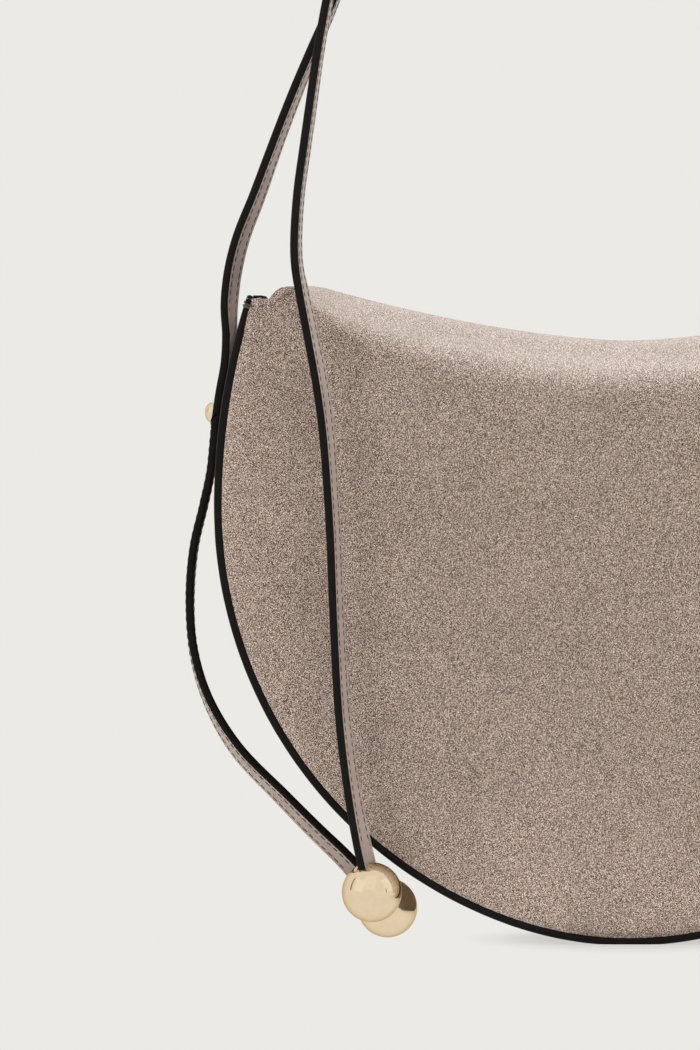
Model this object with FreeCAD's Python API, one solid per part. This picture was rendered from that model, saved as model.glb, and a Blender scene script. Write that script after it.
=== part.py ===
import FreeCAD, Part
import math
import os

from FreeCAD import Vector

# Half moon shoulder bag in suede, with black piping, a fold-over flap and a doubled strap.
# Millimetres. X runs along the bag, Y from the plain front face to the back, Z up.
# The origin is the middle of the flat on which the bag stands.

# Bag outline, seen from the front and measured over the piping
half_width = 141.5
widest_height = 149.0
ear_inset = 10.7
ear_height = 219.0
side_turn_deg = 70.0
base_sag = 0.5

# Bag depth and its layers
bag_depth = 70.0
panel_thickness = 2.0
gusset_thickness = 1.8
gusset_inset = 0.2
lining_thickness = 0.8
lining_inset = 0.6
piping_radius = 1.4
piping_proud = 0.2
seam_gap = 0.1

# Top edges of the two faces: the front one follows the fold, the back one is the mouth
ear_length = 20.8
ear_gap = 1.6
fold_end_rise = 2.0
fold_sag = 28.0
fold_hem = 5.0
mouth_drop = 5.0

# Flap: over the top, round the back fold and down the back face
flap_thickness = 2.0
flap_gap = 0.4
crown_rise_middle = 11.5
crown_rise_end = 2.6
crown_setback = 30.0
back_fold_radius = 12.0
flap_taper = 12.0
flap_side_drop = 14.0
flap_tip_height = 95.0
flap_station_shares = (-1.0, -0.8, -0.6, -0.4, -0.2, 0.0, 0.2, 0.4, 0.6, 0.8, 1.0)

# Magnetic snap between the flap and the back face
snap_rise = 19.0
snap_radius = 9.0
snap_thickness = 2.0
snap_gap = 0.3
snap_post_radius = 2.5
snap_post_length = 1.2
snap_socket_radius = 3.8
snap_socket_depth = 1.5
snap_washer_radius = 7.0
snap_washer_thickness = 0.6
snap_washer_gap = 0.1

# Slip pocket on the back lining, with a bound top edge
pocket_half_width = 70.0
pocket_low = 58.0
pocket_high = 148.0
pocket_corner = 18.0
pocket_thickness = 0.8
pocket_binding_height = 6.0
pocket_binding_proud = 0.7

# Strap strips: the inner one runs from stud to stud, the outer one ends in the two front tails
strap_width = 10.0
strap_thickness = 2.2
strap_gap = 0.3
tail_gap = 1.2
arch_radius = 70.0
arch_lean_deg = 22.0
stud_drop = 39.0
touch_rise = 20.0
leave_drop = 15.0
knuckle_gap = 0.3
loop_drop = 33.8
end_inset = 3.0

# Strip routes on the left side, from the top down, as shares of half_width and ear_height
knee_shares = (-0.9236, 1.146)
bow_shares = (-0.978, 1.014)
front_fold_shares = (-0.8085, 1.045)
front_lower_shares = ((-0.7516, 0.845), (-0.724, 0.660), (-0.715, 0.474), (-0.692, 0.288), (-0.650, 0.136))

# Front strip above the fold, as shares of the way from the fold to where the loop lets it go
front_upper_shares = ((0.326, 0.629), (0.228, 0.477), (0.136, 0.342), (0.020, 0.159))

# Rear strip, as shares of the turn round the outline from the stud to the base, and of strap_width beside it
rear_shares = ((0.040, 0.37), (0.103, 0.81), (0.164, 1.16), (0.224, 1.40), (0.287, 1.48), (0.358, 1.29),
               (0.443, 0.85), (0.536, 0.62))
rear_ball_turn_share = 0.6415

# Ball ends
ball_radius = 10.2
ball_slot_gap = 0.15
front_ball_gap = 1.4
rear_ball_gap = 4.7
front_ball_shares = (-0.6205, 0.084)

# Side studs that pin the strap to the gusset
stud_dome_radius = 3.8
stud_dome_height = 2.5
stud_gap = 0.4
stud_shank_radius = 1.45
stud_bore_radius = 1.5
stud_barrel_radius = 2.2
stud_barrel_gap = 0.08
stud_flange_radius = 4.5
stud_flange_thickness = 0.7

# One overrun for every cut, and how flat an arc counts as a line
overrun = 20.0
flat_arc_share = 1e-7

ear_half_width = half_width - ear_inset
fold_half_width = ear_half_width - ear_length
fold_end_height = ear_height + fold_end_rise
fold_middle_height = fold_end_height - fold_sag
fold_radius = (fold_half_width ** 2 + fold_sag ** 2) / (2 * fold_sag)
mouth_middle_height = fold_middle_height - mouth_drop
flap_back_half_width = fold_half_width - flap_taper
flap_side_height = ear_height - flap_side_drop
snap_height = flap_tip_height + snap_rise
stud_height = ear_height - stud_drop
front_offset = bag_depth / 2 + ball_radius + front_ball_gap

front_face = -bag_depth / 2
back_face = bag_depth / 2
panel_inset = 2 * piping_radius + seam_gap
flap_back = back_face + 2 * snap_thickness + snap_gap + flap_thickness + lining_thickness
half_strap = strap_width / 2
half_thick = strap_thickness / 2


def unit(x, z):
    length = math.hypot(x, z)
    return x / length, z / length


def mirrored_direction(direction, chord):
    """Direction at the far end of an arc that starts along one direction and spans a chord."""
    along = 2 * (direction[0] * chord[0] + direction[1] * chord[1])
    return along * chord[0] - direction[0], along * chord[1] - direction[1]


def arc_chain(points, direction):
    """Tangent arcs through points in the XZ plane: (start, middle, end) points with their directions."""
    chain = []
    for start, end in zip(points, points[1:]):
        chord = unit(end[0] - start[0], end[1] - start[1])
        turn = math.atan2(
            direction[0] * chord[1] - direction[1] * chord[0],
            direction[0] * chord[0] + direction[1] * chord[1],
        )
        bulge = math.hypot(end[0] - start[0], end[1] - start[1]) / 2 * math.tan(turn / 2)
        middle = (
            (start[0] + end[0]) / 2 + bulge * chord[1],
            (start[1] + end[1]) / 2 - bulge * chord[0],
        )
        last = mirrored_direction(direction, chord)
        chain.append(((start, direction), (middle, chord), (end, last)))
        direction = last
    return chain


def offset_point(place, offset):
    """Point beside a place on a chain, to the left of its direction by the offset."""
    (x, z), (along_x, along_z) = place
    return Vector(x - offset * along_z, 0, z + offset * along_x)


def curve(start, middle, end):
    """Arc through three points, or a line where they are in one."""
    bend = (middle - start).cross(end - start).Length
    if bend < (end - start).Length ** 2 * flat_arc_share:
        return Part.LineSegment(start, end).toShape()
    return Part.Arc(start, middle, end).toShape()


def chain_edges(chain, offset):
    return [curve(*[offset_point(place, offset) for place in span]) for span in chain]


def line(start, end):
    return Part.LineSegment(start, end).toShape()


def slab(edges, low, high):
    """Flat solid from a closed outline in the XZ plane, between two depths."""
    face = Part.Face(Part.Wire(Part.__sortEdges__(edges)))
    face.translate(Vector(0, low, 0))
    return face.extrude(Vector(0, high - low, 0))


def strip(chain, left, right, low, high):
    """Band along a chain, between two offsets and two depths."""
    first = [offset_point(chain[0][0], offset) for offset in (left, right)]
    last = [offset_point(chain[-1][2], offset) for offset in (left, right)]
    ends = [line(*first), line(*last)]
    return slab(chain_edges(chain, left) + chain_edges(chain, right) + ends, low, high)


def block(low, high):
    """Box between two opposite corners."""
    size = [b - a for a, b in zip(low, high)]
    return Part.makeBox(*size, Vector(*low))


def rod_x(radius, start, end, height):
    return Part.makeCylinder(radius, end - start, Vector(start, 0, height), Vector(1, 0, 0))


def rod_y(radius, start, end, height):
    return Part.makeCylinder(radius, end - start, Vector(0, start, height), Vector(0, 1, 0))


def mirrored(shape):
    return shape.mirror(Vector(0, 0, 0), Vector(1, 0, 0))


def save(name, shape):
    """Write one node, with its size and soundness printed."""
    solid = shape.Solids[0]
    solid.exportStep("parts/" + name + ".step")
    print(name, len(shape.Solids), "solid, valid", solid.isValid(), "volume", round(solid.Volume))


def save_pair(name, shape):
    save(name + "_left", shape)
    save(name + "_right", mirrored(shape))


def places(shares):
    return [(x * half_width, z * ear_height) for x, z in shares]


def outline_radii():
    """Radii of the ear, side and base arcs, of which the last two make a quarter turn together."""
    ear_rise = ear_height - widest_height
    ear_radius = (ear_rise ** 2 + ear_inset ** 2) / (2 * ear_inset)
    turn = math.radians(side_turn_deg)
    rise = widest_height + base_sag
    split = math.sin(turn) + math.cos(turn) - 1
    side_radius = (rise * math.cos(turn) - half_width * (1 - math.sin(turn))) / split
    base_radius = (half_width * math.sin(turn) - rise * (1 - math.cos(turn))) / split
    return ear_radius, side_radius, base_radius


def outline_place(turn, gap):
    """Place beside the left half of the outline, a turn below its widest line and a gap outside it."""
    if turn < math.radians(side_turn_deg):
        reach = side_radius + gap
        centre = (side_radius - half_width, widest_height)
    else:
        reach = base_radius + gap
        centre = (0, base_radius - base_sag)
    return centre[0] - reach * math.cos(turn), centre[1] - reach * math.sin(turn)


def outline_chain():
    """Outer line of the bag from the left ear, down round the base and up to the right ear."""
    ear = (-ear_half_width, ear_height)
    widest = (-half_width, widest_height)
    tangent = outline_place(math.radians(side_turn_deg), 0)
    base = (0, -base_sag)
    left = [ear, widest, tangent, base]
    right = [(-x, z) for x, z in reversed(left[:-1])]
    chord = unit(widest[0] - ear[0], widest[1] - ear[1])
    start = mirrored_direction((0, -1), chord)
    return arc_chain(left + right, start)


ear_radius, side_radius, base_radius = outline_radii()
outline = outline_chain()
stand = block(
    (-half_width - overrun, -bag_depth, -overrun),
    (half_width + overrun, bag_depth, 0),
)


def fold_height(x):
    return fold_middle_height + fold_radius - math.sqrt(fold_radius ** 2 - x ** 2)


def front_top_edges(inset):
    """Top of the front face: an ear at each end and the line where the flap folds away."""
    ear_end = fold_half_width + ear_gap
    drop = fold_hem + flap_gap
    corner = offset_point(outline[0][0], inset)
    step = Vector(-ear_end, 0, corner.z)
    foot = Vector(-ear_end, 0, fold_height(ear_end) - drop)
    middle = Vector(0, 0, fold_middle_height - drop)
    left = [line(corner, step), line(step, foot)]
    return left + [mirrored(edge) for edge in left] + [curve(foot, middle, Vector(-foot.x, 0, foot.z))]


def back_top_edges(inset):
    """Top of the back face: one hollow line from ear to ear."""
    corner = offset_point(outline[0][0], inset)
    middle = Vector(0, 0, mouth_middle_height)
    return [curve(corner, middle, Vector(-corner.x, 0, corner.z))]


def face_panel(top_edges, inset, low, high):
    return slab(chain_edges(outline, inset) + top_edges(inset), low, high)


def piping(depth):
    """Round cord round one face, flat where the bag stands on it."""
    path = Part.Wire(chain_edges(outline, piping_radius))
    path.translate(Vector(0, depth, 0))
    edge = path.Edges[0]
    start = edge.FirstParameter
    ring = Part.makeCircle(piping_radius, edge.valueAt(start), edge.tangentAt(start))
    tube = path.makePipeShell([Part.Wire(ring)], True, False)
    return tube.cut(stand)


def shell_parts():
    pipe_depth = back_face + piping_proud - piping_radius
    seam = pipe_depth - piping_radius - seam_gap
    save("front_panel", face_panel(front_top_edges, panel_inset, front_face, front_face + panel_thickness))
    save("back_panel", back_panel())
    save("front_piping", piping(-pipe_depth))
    save("back_piping", piping(pipe_depth))

    gusset = strip(outline, gusset_inset, gusset_inset + gusset_thickness, -seam, seam)
    save("gusset", gusset.cut(stand).cut(stud_holes(stud_barrel_radius + stud_barrel_gap)))

    skin = gusset_inset + gusset_thickness
    gusset_lining = strip(outline, skin, skin + lining_thickness, -seam, seam)
    save("gusset_lining", gusset_lining.cut(stud_holes(stud_flange_radius + seam_gap)))

    inset = panel_inset + lining_inset
    inner_front = front_face + panel_thickness
    save("front_lining", face_panel(front_top_edges, inset, inner_front, inner_front + lining_thickness))
    save("back_lining", back_lining(inset))


def back_panel():
    panel = face_panel(back_top_edges, panel_inset, back_face - panel_thickness, back_face)
    return panel.cut(rod_y(snap_post_radius, 0, bag_depth, snap_height))


def back_lining(inset):
    high = back_face - panel_thickness
    lining = face_panel(back_top_edges, inset, high - lining_thickness, high)
    return lining.cut(rod_y(snap_washer_radius + snap_washer_gap, 0, bag_depth, snap_height))


def pocket_parts():
    back = back_face - panel_thickness - lining_thickness
    front = back - pocket_thickness
    top = pocket_high - pocket_binding_height
    pocket = block((-pocket_half_width, front, pocket_low), (pocket_half_width, back, top))
    low_edges = [edge for edge in pocket.Edges if is_low_corner(edge)]
    save("slip_pocket", pocket.makeFillet(pocket_corner, low_edges))
    binding = block(
        (-pocket_half_width, front - pocket_binding_proud, top),
        (pocket_half_width, back, pocket_high),
    )
    save("pocket_binding", binding)


def is_low_corner(edge):
    box = edge.BoundBox
    return box.YLength > box.XLength + box.ZLength and box.ZMax < pocket_low + pocket_corner


def flap_section(x, outer, inner):
    """Closed line across the flap at one place along the bag, between two offsets from its outside."""
    crease = fold_height(x)
    share = (x / fold_half_width) ** 2
    rise = crown_rise_middle + (crown_rise_end - crown_rise_middle) * share
    crown = crease + rise
    radius = (crown_setback ** 2 + rise ** 2) / (2 * rise)
    crown_depth = front_face + crown_setback

    def side(offset):
        bend = radius - offset
        reach = crown_setback - offset
        kink = crown - radius + math.sqrt(bend ** 2 - reach ** 2)
        half = reach / 2
        on_arc = crown - radius + math.sqrt(bend ** 2 - half ** 2)
        turn = back_fold_radius - offset
        centre = (flap_back - back_fold_radius, crown - back_fold_radius)
        diagonal = turn / math.sqrt(2)
        return [
            Vector(x, front_face + offset, crease - fold_hem),
            Vector(x, front_face + offset, kink),
            Vector(x, crown_depth - half, on_arc),
            Vector(x, crown_depth, crown - offset),
            Vector(x, centre[0], crown - offset),
            Vector(x, centre[0] + diagonal, centre[1] + diagonal),
            Vector(x, flap_back - offset, centre[1]),
            Vector(x, flap_back - offset, flap_tip_height),
        ]

    out = side(outer)
    back = side(inner)
    edges = []
    for points in (out, back):
        edges.append(line(points[0], points[1]))
        edges.append(Part.Arc(points[1], points[2], points[3]).toShape())
        edges.append(line(points[3], points[4]))
        edges.append(Part.Arc(points[4], points[5], points[6]).toShape())
        edges.append(line(points[6], points[7]))
    edges.append(line(out[0], back[0]))
    edges.append(line(out[7], back[7]))
    return Part.Wire(Part.__sortEdges__(edges))


def flap_layer(outer, inner):
    """One layer of the flap, narrowing to the back and rounded to a half moon where it hangs."""
    sections = [flap_section(share * fold_half_width, outer, inner) for share in flap_station_shares]
    layer = Part.makeLoft(sections, True, False)
    plan = [
        Vector(-fold_half_width, front_face, 0),
        Vector(fold_half_width, front_face, 0),
        Vector(flap_back_half_width, flap_back, 0),
        Vector(-flap_back_half_width, flap_back, 0),
    ]
    plan_face = Part.Face(Part.makePolygon(plan + plan[:1]))
    layer = layer.common(plan_face.extrude(Vector(0, 0, loop_height)))
    left = Vector(-flap_back_half_width, 0, flap_side_height)
    right = Vector(flap_back_half_width, 0, flap_side_height)
    moon = slab([curve(left, Vector(0, 0, flap_tip_height), right), line(left, right)], 0, bag_depth)
    around = block((-half_width, 0, 0), (half_width, bag_depth, flap_side_height))
    return layer.cut(around.cut(moon))


def flap_parts():
    skin = flap_thickness + lining_thickness
    save("flap", flap_layer(0, flap_thickness))
    lining = flap_layer(flap_thickness, skin)
    hole = rod_y(snap_washer_radius + snap_washer_gap, 0, bag_depth, snap_height)
    save("flap_lining", lining.cut(hole))


def snap_parts():
    inside = flap_back - flap_thickness
    seat = inside - lining_thickness
    face = seat - snap_thickness
    disc = rod_y(snap_radius, face, seat, snap_height)
    post = rod_y(snap_post_radius, face - snap_post_length, face, snap_height)
    save("flap_snap", disc.fuse(post))
    save("flap_snap_washer", rod_y(snap_washer_radius, inside - snap_washer_thickness, inside, snap_height))

    socket_face = back_face + snap_thickness
    socket = rod_y(snap_radius, back_face, socket_face, snap_height)
    well = rod_y(snap_socket_radius, socket_face - snap_socket_depth, socket_face, snap_height)
    stem = rod_y(snap_post_radius - seam_gap, back_face - panel_thickness, back_face, snap_height)
    save("back_snap", socket.cut(well).fuse(stem))
    inner = back_face - panel_thickness
    save("back_snap_washer", rod_y(snap_washer_radius, inner - snap_washer_thickness, inner, snap_height))


def route_chain(points, directions):
    """Smooth chain through points: two arcs a span, along the given directions or the neighbours' chord."""
    along = []
    for i, given in enumerate(directions):
        before = points[max(i - 1, 0)]
        after = points[min(i + 1, len(points) - 1)]
        along.append(given or unit(after[0] - before[0], after[1] - before[1]))
    route = [points[0]]
    for i in range(len(points) - 1):
        route += [meeting_point(points[i], along[i], points[i + 1], along[i + 1]), points[i + 1]]
    return arc_chain(route, along[0])


def meeting_point(start, out, end, into):
    """Point where the two arcs of a span meet."""
    span = (end[0] - start[0], end[1] - start[1])
    total = (out[0] + into[0], out[1] + into[1])
    square = span[0] ** 2 + span[1] ** 2
    reach = span[0] * total[0] + span[1] * total[1]
    bend = 2 * (1 - out[0] * into[0] - out[1] * into[1])
    tangent = square / (reach + math.sqrt(reach ** 2 + bend * square))
    return tuple((start[k] + end[k] + tangent * (out[k] - into[k])) / 2 for k in (0, 1))


def hug(height):
    """Place and direction of a strip that lies against the gusset at a height."""
    lift = height - widest_height
    radius = ear_radius if lift > 0 else side_radius
    out = radius - gusset_inset + stud_gap + half_thick
    place = (radius - half_width - math.sqrt(out ** 2 - lift ** 2), height)
    return place, (-lift / out, -math.sqrt(1 - (lift / out) ** 2))


def place_of(shares):
    return shares[0] * half_width, shares[1] * ear_height


def arch_spring():
    """Place on the left where the round top of the shoulder loop turns straight."""
    lean = math.radians(arch_lean_deg)
    knee = place_of(knee_shares)
    x = -arch_radius * math.cos(lean)
    return x, knee[1] + (x - knee[0]) / math.tan(lean)


loop_height = arch_spring()[1] - loop_drop


def arch_chain():
    """Left half of the shoulder loop, from its top down to the rounded end below the stud."""
    knee = place_of(knee_shares)
    spring = arch_spring()
    top = (0, spring[1] + arch_radius * (1 - math.sin(math.radians(arch_lean_deg))))
    loop = arc_chain([top, spring, knee], (-1, 0))
    touch, touch_along = hug(stud_height + touch_rise)
    end, end_along = hug(stud_height - half_strap)
    down = route_chain(
        [knee, place_of(bow_shares), touch, end],
        [loop[-1][2][1], (0, -1), touch_along, end_along],
    )
    return loop + down


def split_chain(chain):
    """Chain cut off where the outer strip lets go, on its second, straight span."""
    start, along = chain[1][0]
    run = (loop_height - start[1]) / along[1]
    return [chain[0]] + arc_chain([start, (start[0] + run * along[0], loop_height)], along)


def flat_strip(chain, depth):
    return strip(chain, -half_thick, half_thick, depth - half_strap, depth + half_strap)


def stud_rod(radius, start, end):
    """Cylinder square to the strap at the left stud, between two distances inwards from its middle."""
    (x, z), along = hug(stud_height)
    inwards = Vector(-along[1], 0, along[0])
    return Part.makeCylinder(radius, end - start, Vector(x, 0, z) + inwards * start, inwards)


def stud_holes(radius):
    hole = stud_rod(radius, -overrun, overrun)
    return hole.fuse(mirrored(hole))


def strap_parts():
    chain = arch_chain()
    low = stud_height - strap_width
    around = block((-half_width - overrun, -half_strap, low), (0, half_strap, stud_height))
    waste = around.cut(rod_x(half_strap, -half_width - overrun, 0, stud_height))
    inner = flat_strip(chain, 0).cut(waste).cut(stud_holes(stud_barrel_radius + stud_barrel_gap))
    save("strap_inner", inner.fuse(mirrored(inner)).removeSplitter())

    far = -half_thick - strap_gap
    outer = strip(split_chain(chain), far - strap_thickness, far, -half_strap, half_strap)
    outer = outer.cut(rod_x(half_strap + knuckle_gap, -half_width, 0, loop_height))
    save("strap_outer", outer.fuse(mirrored(outer)).removeSplitter())


def ball_end(route, centre):
    """Last point of a strip, short of the middle of its ball."""
    into = unit(centre[0] - route[-1][0], centre[1] - route[-1][1])
    return centre[0] - end_inset * into[0], centre[1] - end_inset * into[1]


def ball(chain, centre, depth):
    """Metal ball with a slot that the end of its strip fits."""
    wide = half_thick + ball_slot_gap
    deep = half_strap + ball_slot_gap
    slot = strip(chain[-2:], -wide, wide, depth - deep, depth + deep)
    sphere = Part.makeSphere(ball_radius, Vector(centre[0], depth, centre[1]))
    return sphere.cut(slot)


def front_tail_parts():
    """Front strip below the loop: it leans out over the top, then hangs in front of the face."""
    split, along = split_chain(arch_chain())[-1][2]
    join = offset_point((split, along), -strap_thickness - tail_gap)
    fold = place_of(front_fold_shares)
    tilt = math.atan2(front_offset, loop_height - fold[1])
    stretch = 1 / math.cos(tilt)

    def unrolled(place):
        return place[0], fold[1] + (place[1] - fold[1]) * stretch

    def part_way(shares):
        return fold[0] + (join.x - fold[0]) * shares[0], fold[1] + (loop_height - fold[1]) * shares[1]

    steep = unit(along[0], along[1] * stretch)
    end = unrolled((join.x, join.z))
    start = (end[0] - half_strap * steep[0], end[1] - half_strap * steep[1])
    mitre = half_strap * math.tan(tilt / 2)
    below = (fold[0], fold[1] - mitre)
    above = (fold[0], fold[1] + mitre)
    free_points = [unrolled(part_way(shares)) for shares in front_upper_shares]
    upper_points = [start, end] + free_points + [fold, below]
    free = [None] * len(front_upper_shares)
    upper = flat_strip(route_chain(upper_points, [steep, steep] + free + [(0, -1), (0, -1)]), -front_offset)
    upper.rotate(Vector(0, -front_offset, fold[1]), Vector(1, 0, 0), -math.degrees(tilt))
    around = block((-half_width, -bag_depth, loop_height), (0, bag_depth, loop_height + bag_depth))
    upper = upper.cut(around.cut(rod_x(half_strap, -half_width, 0, loop_height)))

    centre = place_of(front_ball_shares)
    route = places(front_lower_shares)
    route.append(ball_end(route, centre))
    lower_chain = route_chain([above, fold] + route, [(0, -1), (0, -1)] + [None] * len(route))
    save_pair("front_tail", flat_strip(lower_chain, -front_offset).fuse(upper))
    save_pair("front_ball", ball(lower_chain, centre, -front_offset))


def rear_tail_parts():
    """Free end of the inner strip below the stud, pinned by the same stud."""
    stud, stud_along = hug(stud_height)
    leave, leave_along = hug(stud_height - leave_drop)
    first_turn = math.asin(leave_along[0])

    def beside(turn_share, gap):
        return outline_place(first_turn + (math.pi / 2 - first_turn) * turn_share, gap)

    centre = beside(rear_ball_turn_share, ball_radius + rear_ball_gap)
    route = [beside(turn_share, gap_share * strap_width) for turn_share, gap_share in rear_shares]
    route.append(ball_end(route, centre))
    chain = route_chain([stud, leave] + route, [stud_along, leave_along] + [None] * len(route))
    knuckle = rod_x(half_strap + knuckle_gap, stud[0] - overrun, stud[0] + overrun, stud_height)
    save_pair("rear_tail", flat_strip(chain, 0).cut(knuckle))
    save_pair("rear_ball", ball(chain, centre, 0))


def stud_parts():
    """Domed screw outside the strap, and the flanged barrel that it screws into from inside."""
    seat = -half_thick - stud_gap
    skin = half_thick + stud_gap + gusset_thickness + seam_gap
    cap_radius = (stud_dome_radius ** 2 + stud_dome_height ** 2) / (2 * stud_dome_height)
    place, along = hug(stud_height)
    dome = Part.makeSphere(cap_radius, offset_point((place, along), seat - stud_dome_height + cap_radius))
    dome = dome.common(stud_rod(stud_dome_radius, seat - overrun, seat))
    save_pair("stud", dome.fuse(stud_rod(stud_shank_radius, seat, skin)))

    flange = stud_rod(stud_flange_radius, skin, skin + stud_flange_thickness)
    barrel = stud_rod(stud_barrel_radius, -half_thick, skin)
    save_pair("stud_barrel", flange.fuse(barrel).cut(stud_rod(stud_bore_radius, -overrun, skin)))


def main():
    os.makedirs("parts", exist_ok=True)
    shell_parts()
    pocket_parts()
    flap_parts()
    snap_parts()
    strap_parts()
    front_tail_parts()
    rear_tail_parts()
    stud_parts()


main()
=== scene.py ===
import math

import bmesh
import bpy
import numpy as np
from bpy.props import FloatProperty, FloatVectorProperty, IntProperty, PointerProperty
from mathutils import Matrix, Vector, noise
from mathutils.geometry import delaunay_2d_cdt


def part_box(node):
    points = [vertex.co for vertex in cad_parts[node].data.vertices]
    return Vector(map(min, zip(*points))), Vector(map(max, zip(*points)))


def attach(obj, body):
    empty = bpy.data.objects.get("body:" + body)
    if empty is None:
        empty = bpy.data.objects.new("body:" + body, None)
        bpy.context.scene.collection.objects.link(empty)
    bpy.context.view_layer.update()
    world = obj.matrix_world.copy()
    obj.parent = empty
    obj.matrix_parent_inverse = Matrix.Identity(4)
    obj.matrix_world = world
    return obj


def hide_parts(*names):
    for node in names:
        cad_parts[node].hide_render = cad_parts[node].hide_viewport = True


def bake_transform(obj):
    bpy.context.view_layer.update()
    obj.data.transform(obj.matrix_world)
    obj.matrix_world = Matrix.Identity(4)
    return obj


bl_info = {
    "name": "Half moon bag",
    "version": (1, 0, 0),
    "blender": (4, 5, 0),
    "location": "View3D > Sidebar > Half moon bag",
    "description": "Dresses a half moon bag in suede, painted edges, stitching and gold balls",
    "category": "Object",
}

# The frame in metres: X along the bag, Y from its plain front face to its back, Z up
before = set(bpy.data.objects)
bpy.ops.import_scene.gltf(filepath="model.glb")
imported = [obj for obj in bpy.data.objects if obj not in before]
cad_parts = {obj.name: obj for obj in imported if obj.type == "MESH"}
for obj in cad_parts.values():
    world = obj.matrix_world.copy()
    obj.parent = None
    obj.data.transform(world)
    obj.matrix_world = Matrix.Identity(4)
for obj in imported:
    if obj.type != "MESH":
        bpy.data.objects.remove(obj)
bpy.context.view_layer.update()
outline_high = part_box("front_piping")[1]
front_low, front_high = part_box("front_panel")
back_low, back_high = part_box("back_panel")
flap_low, flap_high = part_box("flap")
gusset_low, gusset_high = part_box("gusset")
pocket_low, pocket_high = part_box("slip_pocket")
binding_low, binding_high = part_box("pocket_binding")
strap_low, strap_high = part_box("strap_inner")
ball_low, ball_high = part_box("rear_ball_left")

sides = ((-1, "left"), (1, "right"))
suede_and_edge = ("napped_suede", "painted_edge")


def length(name, default, description):
    """Size in metres that a user may change."""
    return FloatProperty(name=name, description=description, default=default, unit="LENGTH", precision=5)


def angle(name, degrees, description):
    return FloatProperty(name=name, description=description, default=math.radians(degrees), subtype="ANGLE")


def share(name, default, description):
    return FloatProperty(name=name, description=description, default=default, subtype="FACTOR")


def tint(name, red, green, blue, description):
    """Colour given from 0 to 255 as a picture shows it, kept as linear light."""
    linear = [((c / 255 + 0.055) / 1.055) ** 2.4 for c in (red, green, blue)]
    return FloatVectorProperty(name=name, description=description, default=linear, size=3, subtype="COLOR")


class BagSizes(bpy.types.PropertyGroup):
    """Outline, faces and flap of the bag."""

    half_width: length("Half width", outline_high.x, "Middle of the bag to its outer line")
    widest_height: length("Widest height", 0.149, "Height at which the bag is widest")
    ear_height: length("Ear height", 0.219, "Height of the two top corners")
    ear_inset: length("Ear inset", 0.0107, "How far the corners stand in from the widest line")
    side_turn: angle("Side turn", 70.0, "Turn of the side arc before the base arc takes over")
    base_sag: length("Base sag", 0.0005, "How far the outline would dip below the surface it stands on")
    band: length("Edge band", 0.0031, "Width of the painted seam round each face")
    band_end: length("Edge band at the ears", 0.0023, "Width of the painted seam where it ends")
    band_taper: length("Edge band taper", 0.014, "Height over which the seam thins towards the ears")
    tuck: length("Tuck", 0.0004, "How far a face reaches under its seam")
    puff: length("Puff", 0.0014, "How far the soft faces swell")
    puff_reach: length("Puff reach", 0.016, "Seam to where a face has its full swell")
    grid: length("Grid", 0.0030, "Spacing of the sheet's points")
    sheet_thickness: length("Suede thickness", 0.0020, "Thickness of the suede")
    lining_thickness: length("Lining thickness", 0.0008, "Thickness of the lining")
    crease_middle: length("Crease height", 0.1925, "Height of the front fold in the middle")
    crease_rise: length("Crease rise", 0.0235, "Rise of the front fold towards its ends")
    crease_lift: length("Crease lift", 0.0080, "Further rise of the front fold at its very ends")
    crease_reach: length("Crease reach", 0.1135, "Middle of the fold to where it stops rising")
    crown_middle: length("Crown height", 0.20475, "Height of the flap's highest line in the middle")
    crown_rise: length("Crown rise", 0.0218, "Rise of that line towards its ends")
    crown_level: length("Crown level", 0.0017, "How far the line falls short of that rise at its very ends")
    crown_round: length("Crown round", 0.007, "Length over which the flap rounds into its top")
    crown_droop: length("Crown droop", 0.0012, "How far the flap's top sinks towards the back")
    crown_setback: length("Crown setback", 0.030, "Front face to the highest line")
    fold_half_width: length("Fold half width", 0.1170, "Middle of the fold to its end")
    fold_roll: length("Fold roll", 0.0095, "Height over which the face turns into the fold")
    back_fold: length("Back fold", 0.012, "Radius of the fold over the back")
    flap_back_half_width: length("Flap half width", 0.098, "Half width of the flap on the back")
    flap_side_height: length("Flap side height", 0.190, "Height at which the flap's sides start to round")
    ear_top_length: length("Ear top", 0.0059, "Length of the flat top of an ear")
    ear_cap: length("Ear cap", 0.0012, "Half width of the rounded cap on a seam's end")
    ear_drop: length("Ear drop", 0.0002, "How far a seam's rounded end stays below the ear")
    ear_tack: length("Ear tack", 0.0013, "Ear height to the thread tack below it")
    mouth_middle: length("Mouth height", 0.188, "Height of the back face in the middle")
    mouth_bead: length("Mouth bead", 0.0007, "Radius of the painted edge of the back face's mouth")
    gusset_hollow: length("Gusset hollow", 0.0012, "How far the side strip sags inwards")


class StrapSizes(bpy.types.PropertyGroup):
    """Strap strips, balls and studs."""

    width: length("Strap width", strap_high.y - strap_low.y, "Width of a strip")
    thickness: length("Strap thickness", 0.0028, "Thickness of a strip")
    groove: length("Seam groove", 0.00016, "Depth of the groove that a strap seam lies in")
    step: length("Step", 0.0018, "Spacing of the rings along a strip")
    ball_radius: length("Ball radius", (ball_high.z - ball_low.z) / 2, "Radius of a ball")
    slot_gap: length("Slot gap", 0.00012, "Room round a strip in its ball")
    stud_radius: length("Stud radius", 0.0035, "Radius of a side stud's dome")
    stud_height: length("Stud height", 0.180, "Height of the side studs")
    loop_height: length("Loop height", 0.380, "Height at which the front strip lets go of the loop")


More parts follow.
